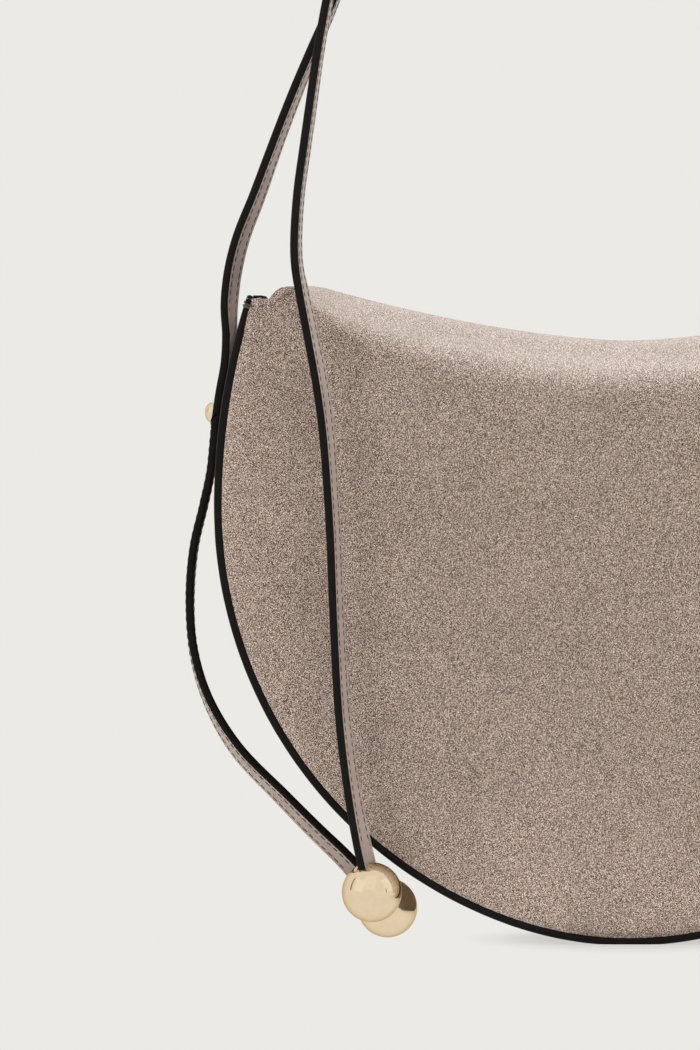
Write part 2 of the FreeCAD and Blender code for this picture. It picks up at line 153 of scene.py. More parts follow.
class StitchSizes(bpy.types.PropertyGroup):
    """Stitches of every seam."""

    pitch: length("Stitch pitch", 0.0029, "Start of one stitch to the next")
    run: length("Stitch length", 0.0021, "Length of one stitch")
    radius: length("Thread radius", 0.00023, "Radius of the thread")
    strap_inset: length("Strap seam inset", 0.0024, "Strap edge to its seam")
    hem_inset: length("Hem inset", 0.0026, "Suede edge to its seam")
    flush_below: length("Flush below", 0.212, "Height below which the loop's inner stitches lie flush")
    seed: IntProperty(name="Seed", description="Seed of the small differences between stitches", default=7)


class Finishes(bpy.types.PropertyGroup):
    """Colours of the bag's materials."""

    suede: tint("Suede", 126, 109, 97, "Middle colour of the suede")
    edge: tint("Edge paint", 14, 11, 10, "Painted edges")
    strap: tint("Strap leather", 141, 125, 116, "Faces of the strap")
    # Darker than the thread itself: painted shade of the stitch holes
    thread: tint("Thread", 66, 53, 47, "Sewing thread")
    lining: tint("Lining", 132, 116, 104, "Woven lining")
    gold: tint("Gold", 244, 223, 191, "Polished balls and studs")
    steel: tint("Steel", 190, 190, 188, "Washers inside")
    backdrop: tint("Backdrop", 235, 234, 230, "Floor and background")


class StageSettings(bpy.types.PropertyGroup):
    """Camera and floor."""

    view_x: length("View centre X", -0.0952, "Middle of the picture along the bag")
    view_z: length("View centre Z", 0.1428, "Middle of the picture above the floor")
    view_height: length("View height", 0.357, "Height of the picture at the front face")
    distance: length("Camera distance", 6.0, "Camera to the front face")
    elevation: angle("Camera elevation", 1.73, "Angle of the camera above the horizon")
    shadow_width: length("Shadow width", 0.060, "How far along the bag the floor still takes shadow")
    shadow_depth: length("Shadow depth", 0.100, "How far across the bag the floor still takes shadow")
    # Close to the bag the floor's glow gives way to a darker matt and is dimmed: painted shade besides the
    # real shadow
    floor_glow: share("Floor glow", 0.75, "Share of the floor's own pale colour close to the bag")
    floor_painted_dimming: share("Floor dimming", 0.945, "Strength of that colour there, where lamps add to it")


def bag():
    return bpy.context.scene.bag_sizes


def strap():
    return bpy.context.scene.strap_sizes


def stitch():
    return bpy.context.scene.stitch_sizes


def finish():
    return bpy.context.scene.bag_finishes


def smooth(low, high, value):
    """Smooth step from 0 at low to 1 at high."""
    t = min(max((value - low) / (high - low), 0.0), 1.0)
    return t * t * (3 - 2 * t)


def mix(a, b, t):
    return a + (b - a) * t


def turns(count):
    """Angles of a full turn in even steps."""
    return [2 * math.pi * k / count for k in range(count)]


def squared(value, power):
    """Sine or cosine that makes a circle squarer, the more so the smaller the power."""
    return math.copysign(abs(value) ** power, value)


# Meshes

# Points on a path between two given ones, and the least distance between given ones
path_samples = 40
path_least = 1e-9
# Distance within which points are taken as one, in any mesh and in a flat sheet
same_place = 1e-6
same_place_flat = 1e-7


def new_object(name, data):
    obj = bpy.data.objects.new(name, data)
    bpy.context.scene.collection.objects.link(obj)
    return obj


def shaded_smooth(mesh):
    mesh.polygons.foreach_set("use_smooth", [True] * len(mesh.polygons))


def mesh_object(name, points, faces, materials=(), indices=None):
    """Object from points and faces, with its named materials and one index for each face."""
    mesh = bpy.data.meshes.new(name)
    mesh.from_pydata([tuple(p) for p in points], [], faces)
    for look in materials:
        mesh.materials.append(material(look))
    if indices is not None:
        mesh.polygons.foreach_set("material_index", indices)
    shaded_smooth(mesh)
    mesh.validate()
    mesh.update()
    return new_object(name, mesh)


def made_plain(obj):
    """Replace an object's mesh by its evaluated one and drop the modifiers."""
    bpy.context.view_layer.update()
    graph = bpy.context.evaluated_depsgraph_get()
    mesh = bpy.data.meshes.new_from_object(obj.evaluated_get(graph))
    obj.modifiers.clear()
    obj.data = mesh
    return obj


def reworked(obj, change):
    """Change an object's mesh by way of bmesh."""
    work = bmesh.new()
    work.from_mesh(obj.data)
    change(work)
    work.to_mesh(obj.data)
    work.free()
    return obj


def merged(obj, distance=same_place):
    return reworked(obj, lambda work: bmesh.ops.remove_doubles(work, verts=work.verts, dist=distance))


def outward_normals(obj):
    return reworked(obj, lambda work: bmesh.ops.recalc_face_normals(work, faces=work.faces))


def faced(obj, outward, counts=lambda face: True):
    """Turn a sheet's faces so that those that count mostly look along a direction."""
    total = sum((p.normal * p.area for p in obj.data.polygons if counts(p)), Vector())
    if total.dot(Vector(outward)) < 0:
        obj.data.flip_normals()
    return obj


def thickened(obj, thickness, rim_slot):
    """Give a sheet its thickness inwards, with its cut edges in another material slot."""
    shell = obj.modifiers.new("thickness", "SOLIDIFY")
    shell.thickness = thickness
    shell.offset = -1.0
    shell.use_even_offset = True
    shell.material_offset_rim = rim_slot
    return made_plain(obj)


def floor_clamp(obj):
    for vertex in obj.data.vertices:
        vertex.co.z = max(vertex.co.z, 0.0)


def tube(rings, closed_ends=True):
    """Points and faces of a tube through rings of equal count."""
    count = len(rings[0])
    points = [p for ring in rings for p in ring]
    faces = []
    for i in range(len(rings) - 1):
        for k in range(count):
            after = (k + 1) % count
            faces.append((i * count + k, i * count + after, (i + 1) * count + after, (i + 1) * count + k))
    if closed_ends:
        faces.append(tuple(reversed(range(count))))
        faces.append(tuple((len(rings) - 1) * count + k for k in range(count)))
    return points, faces


def oval(x, y, z, half_depth, half_height, count):
    """Ring of points round a place, across the bag's length."""
    return [(x, y + half_depth * math.cos(t), z + half_height * math.sin(t)) for t in turns(count)]


def shifted(faces, start):
    return [tuple(start + i for i in f) for f in faces]


def grid_faces(rows, columns):
    faces = []
    for i in range(rows - 1):
        for k in range(columns - 1):
            corner = i * columns + k
            faces.append((corner, corner + 1, corner + columns + 1, corner + columns))
    return faces


def smooth_path(points, step):
    """Points at an even step on a smooth curve through a few points, which may carry further numbers."""
    points = [np.array(p, float) for p in points]
    points = [2 * points[0] - points[1]] + points + [2 * points[-1] - points[-2]]
    dense = []
    for a, b, c, d in zip(points, points[1:], points[2:], points[3:]):
        knots = [0.0]
        for p, q in ((a, b), (b, c), (c, d)):
            knots.append(knots[-1] + max(np.linalg.norm((q - p)[:3]), path_least) ** 0.5)
        levels = (
            [(knots[i], knots[i + 1]) for i in range(3)],
            [(knots[i], knots[i + 2]) for i in range(2)],
            [(knots[1], knots[2])],
        )
        for t in np.linspace(knots[1], knots[2], path_samples, endpoint=False):
            line = [a, b, c, d]
            for spans in levels:
                pairs = zip(line, line[1:], spans)
                line = [(p * (high - t) + q * (t - low)) / (high - low) for p, q, (low, high) in pairs]
            dense.append(line[0])
    dense.append(points[-2])
    dense = np.array(dense)
    along = np.concatenate([[0.0], np.cumsum(np.linalg.norm(np.diff(dense[:, :3], axis=0), axis=1))])
    count = max(int(along[-1] / step), 2)
    even = np.linspace(0.0, along[-1], count + 1)
    return np.stack([np.interp(even, along, dense[:, k]) for k in range(dense.shape[1])], axis=1)


# The bag's outline and the shapes of its faces

# Powers of the distance from the middle by which the fold, its further lift, the crown and the roll change
crease_power = 1.84
lift_power = 14
crown_power = 1.62
roll_power = 4
# Share of the fold's half width from which the crown levels off, and its least height in suede thicknesses
crown_level_from = 0.88
crown_least = 0.4
# Unevenness of the swell: its share, its waves per metre and its place in the noise
swell_change = 0.25
swell_waves = 22
swell_place = 0.3
# Least distance of a sheet's inner points from its edge, in spacings
edge_room = 0.6
# Spacing of the points along a face's seam, along an ear's top and along a painted seam, in grid spacings
face_seam_spacing = 0.8
ear_spacing = 0.5
painted_seam_spacing = 0.7
# Points along the flat top of an ear and up its round step, and the power that rounds the step
ear_flat_points = 6
ear_least_points = 8
ear_round_power = 2.2
# Points along the fold for each grid spacing
fold_density = 1.2
# How tightly the fold and the crown are rounded, and how much longer the fold is on top than on the face
fold_pull = 0.62
crown_pull = 0.6
fold_run_on = 0.001
# Rows of points along the flap: front fold, slope, rounding into the top, top, back fold and hanging part
fold_steps = 10
slope_steps = 6
peak_steps = 8
top_steps = 8
turn_steps = 10
hang_steps = 40
# How far the hanging part leans in, and the share of its length from which it does
hang_lean = 0.0010
hang_lean_from = 0.2
# The ends of the back face's mouth rise to the ears between these distances from the ears
mouth_rise_from = 0.010
mouth_rise_to = 0.006


def outline_arcs():
    """Arcs of the left half: centre, radius, and first and last turn below the widest line."""
    s = bag()
    ear_rise = s.ear_height - s.widest_height
    ear_radius = (ear_rise ** 2 + s.ear_inset ** 2) / (2 * s.ear_inset)
    rise = s.widest_height + s.base_sag
    sine = math.sin(s.side_turn)
    cosine = math.cos(s.side_turn)
    split = sine + cosine - 1
    side_radius = (rise * cosine - s.half_width * (1 - sine)) / split
    base_radius = (s.half_width * sine - rise * (1 - cosine)) / split
    return (
        ((ear_radius - s.half_width, s.widest_height), ear_radius, -math.asin(ear_rise / ear_radius), 0.0),
        ((side_radius - s.half_width, s.widest_height), side_radius, 0.0, s.side_turn),
        ((0.0, base_radius - s.base_sag), base_radius, s.side_turn, math.pi / 2),
    )


def outline(step):
    """Places and outward directions in XZ, from the left ear round the base to the right ear."""
    left = []
    for centre, radius, first, last in outline_arcs():
        count = max(int((last - first) * radius / step), 2)
        for i in range(count):
            turn = mix(first, last, i / count)
            out = (-math.cos(turn), -math.sin(turn))
            left.append(((centre[0] + radius * out[0], centre[1] + radius * out[1]), out))
    right = [((-x, z), (-out_x, out_z)) for (x, z), (out_x, out_z) in reversed(left)]
    return left + [((0.0, -bag().base_sag), (0.0, -1.0))] + right


def band_width(height):
    """Width of the painted seam at a height: it thins towards the ears."""
    s = bag()
    return mix(s.band, s.band_end, smooth(s.ear_height - s.band_taper, s.ear_height, height))


def face_inset(height):
    """Outline to the edge of a face, which reaches a little under the seam."""
    return band_width(height) - bag().tuck


def lining_inset(height):
    return bag().band + bag().tuck


def inset_line(step, inset):
    """Outline moved inwards by an inset that may depend on the height."""
    line = []
    for (x, z), (out_x, out_z) in outline(step):
        depth = inset(z)
        line.append((x - out_x * depth, max(z - out_z * depth, 0.0)))
    return line


def crease(x):
    """Height of the front fold, level near its ends."""
    s = bag()
    out = min(abs(x) / s.crease_reach, 1.0)
    return s.crease_middle + s.crease_rise * out ** crease_power + s.crease_lift * out ** lift_power


def crown(x):
    """Height of the flap's highest line, never below the fold."""
    s = bag()
    reach = s.fold_half_width
    top = s.crown_middle + s.crown_rise * (abs(x) / reach) ** crown_power
    top -= s.crown_level * smooth(reach * crown_level_from, reach, abs(x))
    return max(top, crease(x) + s.sheet_thickness * crown_least)


def roll(x):
    """Height below the fold at which the face starts to turn: a tight turn at the ends."""
    s = bag()
    out = min(abs(x) / s.fold_half_width, 1.0)
    return s.fold_roll * (1 - out ** roll_power) + s.sheet_thickness / 8


def mouth(x):
    """Height of the back face's top edge."""
    s = bag()
    half = s.half_width - s.ear_inset
    hollow = s.mouth_middle + (s.ear_height - s.mouth_middle) * (abs(x) / half) ** 2
    return mix(hollow, s.ear_height, smooth(half - mouth_rise_from, half - mouth_rise_to, abs(x)))


def hem_height(x, tip):
    """Height of the flap's rounded hem on the back."""
    s = bag()
    drop = s.flap_side_height - tip
    radius = (s.flap_back_half_width ** 2 + drop ** 2) / (2 * drop)
    return tip + radius - math.sqrt(max(radius ** 2 - x ** 2, 0.0))


def seam_distance(x, z):
    """How far a place on a face lies inside the outline."""
    near = 1.0
    for (centre_x, centre_z), radius, first, last in outline_arcs():
        across = centre_x + abs(x)
        down = centre_z - z
        if first <= math.atan2(down, across) <= last:
            near = min(near, radius - math.hypot(across, down))
    return max(near, 0.0)


def puff(x, z, top):
    """Swell of a soft face: it rolls up from its seams and lies flat again at its top."""
    s = bag()
    round_up = math.sin(math.pi / 2 * min(seam_distance(x, z) / s.puff_reach, 1.0))
    up = smooth(0.0, s.widest_height / 3, top - z)
    wave = 1 + swell_change * noise.noise(Vector((x, z, swell_place)) * swell_waves)
    return s.puff * round_up * up * wave


def front_face_y(x, z):
    return front_low.y - puff(x, z, crease(x))


def sheet(boundary, spacing):
    """Points and faces of a flat sheet inside a closed line, whose points come first."""
    line = np.array(boundary)
    low = line.min(axis=0)
    high = line.max(axis=0)
    inner = []
    row_height = spacing * math.sqrt(3) / 2
    for i in range(int((high[1] - low[1]) / row_height) + 1):
        shift = spacing / 2 * (i % 2)
        for k in range(int((high[0] - low[0]) / spacing) + 1):
            inner.append((low[0] + shift + k * spacing, low[1] + i * row_height))
    inner = np.array(inner)
    after = np.roll(line, -1, axis=0)
    inside = np.zeros(len(inner), bool)
    near = np.full(len(inner), math.inf)
    for (ax, az), (bx, bz) in zip(line, after):
        crosses = (az > inner[:, 1]) != (bz > inner[:, 1])
        with np.errstate(divide="ignore", invalid="ignore"):
            cut = ax + (inner[:, 1] - az) * (bx - ax) / (bz - az)
        inside ^= crosses & (inner[:, 0] < cut)
        near = np.minimum(near, np.hypot(inner[:, 0] - ax, inner[:, 1] - az))
    inner = inner[inside & (near > spacing * edge_room)]
    count = len(boundary)
    places = [Vector(p) for p in boundary] + [Vector(p) for p in inner]
    edges = [(i, (i + 1) % count) for i in range(count)]
    flat, _, faces, _, _, _ = delaunay_2d_cdt(places, edges, [list(range(count))], 1, same_place_flat)
    return flat, faces


def ear_top(side):
    """Top edge of an ear from its corner to the end of the fold, with the round step up to it."""
    s = bag()
    corner = s.half_width - s.ear_inset - s.band_end
    flat = corner - s.ear_top_length
    high = crease(s.fold_half_width) - roll(s.fold_half_width)
    low = s.ear_height + s.tuck * 2
    line = [(side * x, low) for x in np.linspace(corner, flat, ear_flat_points, endpoint=False)]
    step = s.grid * ear_spacing
    count = max(int((flat - s.fold_half_width) / step * 3), ear_least_points)
    for i in range(count + 1):
        t = i / count
        rise = 1 - (1 - t) ** ear_round_power
        line.append((side * mix(flat, s.fold_half_width, t), mix(low, high, rise)))
    return line


def fold_places():
    """Places along the fold, at which the front face and the flap share their points."""
    s = bag()
    count = int(2 * s.fold_half_width / s.grid * fold_density)
    return [mix(-1.0, 1.0, i / count) for i in range(count + 1)]


def front_boundary():
    """Closed line of the front face: seam, right ear, fold, left ear."""
    s = bag()
    seam = inset_line(s.grid * face_seam_spacing, face_inset)
    fold = []
    for place in fold_places():
        x = place * s.fold_half_width
        fold.append((x, crease(x) - roll(x)))
    right = ear_top(1)
    left = ear_top(-1)
    return seam + right[:-1] + fold[::-1] + left[:-1][::-1]


def closed_over(seam, top, thinning=1):
    """Closed line of a face: its seam, then its top edge from right to left."""
    first = seam[-1][0]
    last = seam[0][0]
    count = int((first - last) / bag().grid / thinning)
    return seam + [(x, top(x)) for x in [mix(first, last, i / count) for i in range(1, count)]]


def back_boundary(inset):
    return closed_over(inset_line(bag().grid * face_seam_spacing, inset), mouth)


def front_lining_boundary():
    """Closed line of the front lining, which ends below the fold."""
    s = bag()
    seam = [p for p in inset_line(s.grid, lining_inset) if p[1] < crease(p[0]) - s.fold_roll]
    return closed_over(seam, lambda x: crease(x) - s.fold_roll, 2)


def across_flap(place, y):
    """Place along the bag of a point of the flap: the flap narrows towards the back."""
    s = bag()
    back = (y - front_low.y) / (flap_high.y - front_low.y)
    return place * mix(s.fold_half_width, s.flap_back_half_width, back)


def bezier(points, t):
    a, b, c, d = [np.array(p) for p in points]
    return a * (1 - t) ** 3 + b * 3 * t * (1 - t) ** 2 + c * 3 * t * t * (1 - t) + d * t ** 3


def fold_section(place):
    """Depths and heights from the front face over the fold and up the slope to the flap's top."""
    s = bag()
    crown_y = front_low.y + s.crown_setback
    x = across_flap(place, front_low.y)
    turn = roll(x)
    start = np.array((front_face_y(x, crease(x) - turn), crease(x) - turn))
    corner = np.array((front_low.y, crease(x)))
    top = np.array((crown_y, crown(across_flap(place, crown_y))))
    slope = (top - corner) / np.linalg.norm(top - corner)
    after = corner + slope * min(turn + fold_run_on, s.crown_setback / 3)
    before = top - slope * s.crown_round
    level_y = crown_y + s.crown_round
    level = np.array((level_y, crown(across_flap(place, level_y))))
    fold = (start, start + (corner - start) * fold_pull, after + (corner - after) * fold_pull, after)
    peak = (before, before + (top - before) * crown_pull, level + (top - level) * crown_pull, level)
    made = [bezier(fold, i / fold_steps) for i in range(fold_steps)]
    made += [mix(after, before, i / slope_steps) for i in range(slope_steps)]
    made += [bezier(peak, i / peak_steps) for i in range(peak_steps + 1)]
    return made


def flap_column(place):
    """Points of the flap from the front fold to its hem, at a place from -1 to 1 across it."""
    s = bag()
    back = flap_high.y
    top_end = back - s.back_fold
    section = fold_section(place)
    level_y = section[-1][0]
    made = [(across_flap(place, y), y, z) for y, z in section]
    for i in range(1, top_steps + 1):
        t = i / top_steps
        y = mix(level_y, top_end, t)
        x = across_flap(place, y)
        made.append((x, y, crown(x) - s.crown_droop * t * t))
    for i in range(1, turn_steps + 1):
        turn = math.pi / 2 * i / turn_steps
        y = top_end + s.back_fold * math.sin(turn)
        x = across_flap(place, y)
        made.append((x, y, crown(x) - s.crown_droop - s.back_fold * (1 - math.cos(turn))))
    x = across_flap(place, back)
    high = crown(x) - s.crown_droop
    low = hem_height(x, flap_low.z)
    for i in range(1, hang_steps + 1):
        t = i / hang_steps
        made.append((x, back - hang_lean * smooth(hang_lean_from, 1.0, t), mix(high - s.back_fold, low, t)))
    return made


def flap_grid(width_share=1.0, first_row=0, last_row=None):
    """Points and faces of the flap, or of a part of it."""
    columns = [flap_column(p * width_share) for p in fold_places()]
    rows = list(zip(*columns))[first_row:last_row]
    return [p for row in rows for p in row], grid_faces(len(rows), len(columns))


# Materials

# Turn of the suede's grain, so that no face lies along the pattern's own grid and has bands of weak grain
grain_turn = (0.62, 0.41, 0.83)
# Tones of the fibres from the deepest to the palest, as factors on the suede's colour
fibre_tones = (
    (0.36, (0.03, 0.01, 0.005)),
    (0.45, (0.28, 0.23, 0.20)),
    (0.52, (0.97, 0.97, 0.97)),
    (0.64, (2.8, 3.15, 3.5)),
)
# Tone of the painted light over the top of the bag, and of the painted light at the sides with the
# distances between which it rises
painted_top_light_tone = (1.17, 1.22, 1.26)
painted_side_light_tone = 1.13
painted_side_light_from = 0.055
painted_side_light_full = 0.125
# Share of the backdrop's colour in the floor's darker matt part near the bag, which is painted shade, and
# where the floor's fade to plain starts
painted_floor_shade = 0.3
floor_fade_from = 0.35
black_cloth = (0.02, 0.018, 0.016, 1.0)


def feed(tree, node, sockets):
    """Link a node's inputs to outputs, or set them to values."""
    for key, value in sockets.items():
        if isinstance(value, bpy.types.NodeSocket):
            tree.links.new(value, node.inputs[key])
        else:
            node.inputs[key].default_value = value


def add_node(tree, kind, sockets=None, **settings):
    node = tree.nodes.new(kind)
    for key, value in settings.items():
        setattr(node, key, value)
    feed(tree, node, sockets or {})
    return node


def blank_material(name):
    made = bpy.data.materials.new(name)
    made.use_nodes = True
    tree = made.node_tree
    place = tree.nodes.new("ShaderNodeTexCoord")
    return made, tree, tree.nodes["Principled BSDF"], place.outputs["Object"]


def noise_node(tree, place, scale, detail, roughness, distortion=0.0):
    sockets = {"Vector": place, "Scale": scale, "Detail": detail}
    sockets.update({"Roughness": roughness, "Distortion": distortion})
    return add_node(tree, "ShaderNodeTexNoise", sockets).outputs["Fac"]


def ramp_node(tree, value, stops):
    """Colour ramp over a value, from (position, colour) stops."""
    node = add_node(tree, "ShaderNodeValToRGB", {"Fac": value})
    elements = node.color_ramp.elements
    while len(elements) < len(stops):
        elements.new(0.5)
    for element, (position, colour) in zip(elements, stops):
        element.position = position
        element.color = (*colour, 1.0)
    return node.outputs["Color"]


def rise_node(tree, value, first, last, low, high):
    """Smooth rise from one level to another while a value goes from first to last."""
    sockets = {"Value": value, "From Min": first, "From Max": last, "To Min": low, "To Max": high}
    return add_node(tree, "ShaderNodeMapRange", sockets, interpolation_type="SMOOTHSTEP").outputs["Result"]


def multiplied(tree, first, second, factor=1.0):
    sockets = {"Factor": factor, "A": first, "B": second}
    node = add_node(tree, "ShaderNodeMix", sockets, data_type="RGBA", blend_type="MULTIPLY")
    return node.outputs["Result"]


def bump_node(tree, height, strength, distance):
    sockets = {"Height": height, "Strength": strength, "Distance": distance}
    return add_node(tree, "ShaderNodeBump", sockets).outputs["Normal"]


def math_node(tree, operation, *values):
    return add_node(tree, "ShaderNodeMath", dict(enumerate(values)), operation=operation).outputs[0]


def shade(colour, factor):
    return tuple(min(c * factor, 1.0) for c in colour)


def shades(colour, *stops):
    """Stops of a ramp from (position, factor on the colour)."""
    return [(position, shade(colour, factor)) for position, factor in stops]


def greys(*stops):
    return [(position, (level, level, level)) for position, level in stops]


def suede_material(name):
    """Napped suede: fine speckle of pale and dark fibres, soft clouds and a pale sheen."""
    made, tree, shader, place = blank_material(name)
    sockets = {"Vector": place, "Rotation": grain_turn}
    turned = add_node(tree, "ShaderNodeMapping", sockets).outputs["Vector"]
    speckle = noise_node(tree, turned, scale=3900.0, detail=1.0, roughness=0.6, distortion=0.6)
    tones = [(at, tuple(c * k for c, k in zip(finish().suede, tone))) for at, tone in fibre_tones]
    clouds = noise_node(tree, place, scale=45.0, detail=3.0, roughness=0.6)
    mottle = ramp_node(tree, clouds, [(0.30, (0.92, 0.915, 0.91)), (0.70, (1.05, 1.05, 1.05))])
    patches = noise_node(tree, place, scale=330.0, detail=2.0, roughness=0.55)
    nap = ramp_node(tree, patches, [(0.32, (0.975, 0.972, 0.97)), (0.66, (1.015, 1.015, 1.015))])
    colour = ramp_node(tree, speckle, tones)
    # Painted light: paler towards the sides, and paler and cooler over the top
    for layer in (mottle, nap, painted_side_light(tree, place), painted_top_light(tree)):
        colour = multiplied(tree, colour, layer)
    feed(tree, shader, {
        "Base Color": colour, "Roughness": 0.95, "Specular IOR Level": 0.12,
        "Sheen Weight": 0.35, "Sheen Roughness": 0.5, "Sheen Tint": (0.93, 0.94, 0.95, 1.0),
        "Normal": bump_node(tree, speckle, strength=0.6, distance=0.0004),
    })
    return made


def painted_side_light(tree, place):
    """Grey level that makes the suede paler towards the sides of the bag: painted light."""
    parts = add_node(tree, "ShaderNodeSeparateXYZ", {"Vector": place})
    away = math_node(tree, "ABSOLUTE", parts.outputs["X"])
    return rise_node(tree, away, painted_side_light_from, painted_side_light_full, 1.0, painted_side_light_tone)


def painted_top_light(tree):
    """Painted light: a tone that makes the suede paler and cooler where the mesh says that it lies over the
    top.
    """
    spread = add_node(tree, "ShaderNodeAttribute", attribute_name="painted_top_light")
    return ramp_node(tree, spread.outputs["Fac"], [(0.0, (1.0, 1.0, 1.0)), (1.0, painted_top_light_tone)])


def edge_paint_material(name):
    """Dark edge paint with a soft gloss and a slightly uneven coat."""
    made, tree, shader, place = blank_material(name)
    coat = noise_node(tree, place, scale=420.0, detail=3.0, roughness=0.6)
    feed(tree, shader, {
        "Base Color": ramp_node(tree, coat, shades(finish().edge, (0.3, 0.75), (0.6, 1.05), (0.8, 1.6))),
        "Roughness": ramp_node(tree, coat, greys((0.3, 0.42), (0.7, 0.60))),
        "Specular IOR Level": 0.1,
        "Normal": bump_node(tree, coat, strength=0.25, distance=0.0002),
    })
    return made


def strap_material(name):
    """Smooth strap leather with a fine grain and faint handling marks."""
    made, tree, shader, place = blank_material(name)
    sockets = {"Vector": place, "Scale": 1700.0}
    cells = add_node(tree, "ShaderNodeTexVoronoi", sockets, feature="DISTANCE_TO_EDGE").outputs["Distance"]
    grain = ramp_node(tree, cells, [(0.0, (0.62, 0.60, 0.58)), (0.24, (1.04, 1.04, 1.04))])
    clouds = noise_node(tree, place, scale=140.0, detail=4.0, roughness=0.6)
    marks = ramp_node(tree, clouds, shades(finish().strap, (0.28, 0.84), (0.5, 1.0), (0.74, 1.18)))
    feed(tree, shader, {
        "Base Color": multiplied(tree, marks, grain, 0.8),
        "Roughness": 0.62, "Specular IOR Level": 0.35, "Sheen Weight": 0.15,
        "Normal": bump_node(tree, cells, strength=0.35, distance=0.0003),
    })
    return made


def thread_material(name):
    """Twisted sewing thread, darkened as painted shade of the stitch holes."""
    made, tree, shader, place = blank_material(name)
    sockets = {"Vector": place, "Scale": 900.0, "Distortion": 2.0}
    strands = add_node(tree, "ShaderNodeTexWave", sockets).outputs["Fac"]
    feed(tree, shader, {
        "Base Color": ramp_node(tree, strands, shades(finish().thread, (0.1, 0.7), (0.7, 1.15))),
        "Roughness": 0.7, "Sheen Weight": 0.2,
        "Normal": bump_node(tree, strands, strength=0.4, distance=0.0001),
    })
    return made


def lining_material(name):
    """Fine twill lining: two crossed sets of yarns."""
    made, tree, shader, place = blank_material(name)
    sockets = {"Vector": place, "Rotation": (0.0, math.radians(45), 0.0)}
    turned = add_node(tree, "ShaderNodeMapping", sockets).outputs["Vector"]
    sockets = {"Vector": turned, "Scale": 420.0, "Distortion": 0.6, "Detail Scale": 3.0}
    sets = [add_node(tree, "ShaderNodeTexWave", sockets, bands_direction=axis) for axis in "XZ"]
    weave = math_node(tree, "MULTIPLY", *[yarns.outputs["Fac"] for yarns in sets])
    feed(tree, shader, {
        "Base Color": ramp_node(tree, weave, shades(finish().lining, (0.0, 0.72), (0.8, 1.12))),
        "Roughness": 0.85, "Sheen Weight": 0.2,
        "Normal": bump_node(tree, weave, strength=0.4, distance=0.0003),
    })
    return made


def metal_material(name, colour, rough):
    """Polished metal with faint rub marks."""
    made, tree, shader, place = blank_material(name)
    rub = noise_node(tree, place, scale=300.0, detail=4.0, roughness=0.65)
    feed(tree, shader, {
        "Base Color": ramp_node(tree, rub, shades(colour, (0.3, 0.94), (0.7, 1.02))),
        "Roughness": ramp_node(tree, rub, greys((0.3, rough * 0.7), (0.75, rough * 1.4))),
        "Metallic": 1.0, "Specular Tint": (*shade(colour, 0.75), 1.0),
        "Normal": bump_node(tree, rub, strength=0.02, distance=0.0001),
    })
    return made


def gold_material(name):
    return metal_material(name, finish().gold, 0.10)


def steel_material(name):
    return metal_material(name, finish().steel, 0.3)


def black_cloth_material(name):
    made, tree, shader, _ = blank_material(name)
    feed(tree, shader, {"Base Color": black_cloth, "Roughness": 1.0})
    return made


def seen(tree):
    """One for rays from the camera or by way of metal and glass, else zero."""
    path = tree.nodes.new("ShaderNodeLightPath").outputs
    value = path["Is Camera Ray"]
    for name in ("Is Glossy Ray", "Is Transmission Ray"):
        value = math_node(tree, "MAXIMUM", value, path[name])
    return value


def mixed(tree, factor, first, second):
    return add_node(tree, "ShaderNodeMixShader", {"Fac": factor, 1: first.outputs[0], 2: second.outputs[0]})


def floor_material(name):
    """Floor that shows its pale colour to the camera and the metal, and takes shadow close to the bag: real
    shadow on a matt part that is also painted darker, with a dimmed glow, as painted shade.
    """
    s = bpy.context.scene.stage_settings
    colour = (*finish().backdrop, 1.0)
    made, tree, shader, place = blank_material(name)
    tree.nodes.remove(shader)
    reach = (s.shadow_width, s.shadow_depth, 1.0)
    spread = add_node(tree, "ShaderNodeVectorMath", {0: place, 1: reach}, operation="DIVIDE")
    sockets = {0: spread.outputs["Vector"]}
    away = add_node(tree, "ShaderNodeVectorMath", sockets, operation="LENGTH").outputs["Value"]
    glow_share = rise_node(tree, away, floor_fade_from, 1.0, s.floor_glow, 1.0)
    strength = rise_node(tree, away, floor_fade_from, 1.0, s.floor_painted_dimming, 1.0)
    glow = add_node(tree, "ShaderNodeEmission", {"Color": colour, "Strength": strength})
    # Painted shade: a darker matt near the bag
    painted_shade_matt = add_node(tree, "ShaderNodeBsdfDiffuse", {"Color": (*shade(finish().backdrop, painted_floor_shade), 1.0)})
    matt = add_node(tree, "ShaderNodeBsdfDiffuse", {"Color": colour})
    both = mixed(tree, seen(tree), matt, mixed(tree, glow_share, painted_shade_matt, glow))
    feed(tree, tree.nodes["Material Output"], {"Surface": both.outputs[0]})
    return made


makers = {
    "napped_suede": suede_material,
    "painted_edge": edge_paint_material,
    "grained_strap": strap_material,
    "sewing_thread": thread_material,
    "twill_lining": lining_material,
    "pale_gold": gold_material,
    "plain_steel": steel_material,
    "floor_pale": floor_material,
    "black_cloth": black_cloth_material,
}


def material(name):
    """One of the materials, made the first time that it is asked for."""
    return bpy.data.materials.get(name) or makers[name](name)


# Strap strips, each along the line of its front edge on the left side, from the top down

loop_radius = 0.070
loop_lean = math.radians(22)
loop_steps = 8
# Lift of the outer strip off the inner one on the loop, in thicknesses
outer_lift = 1.1
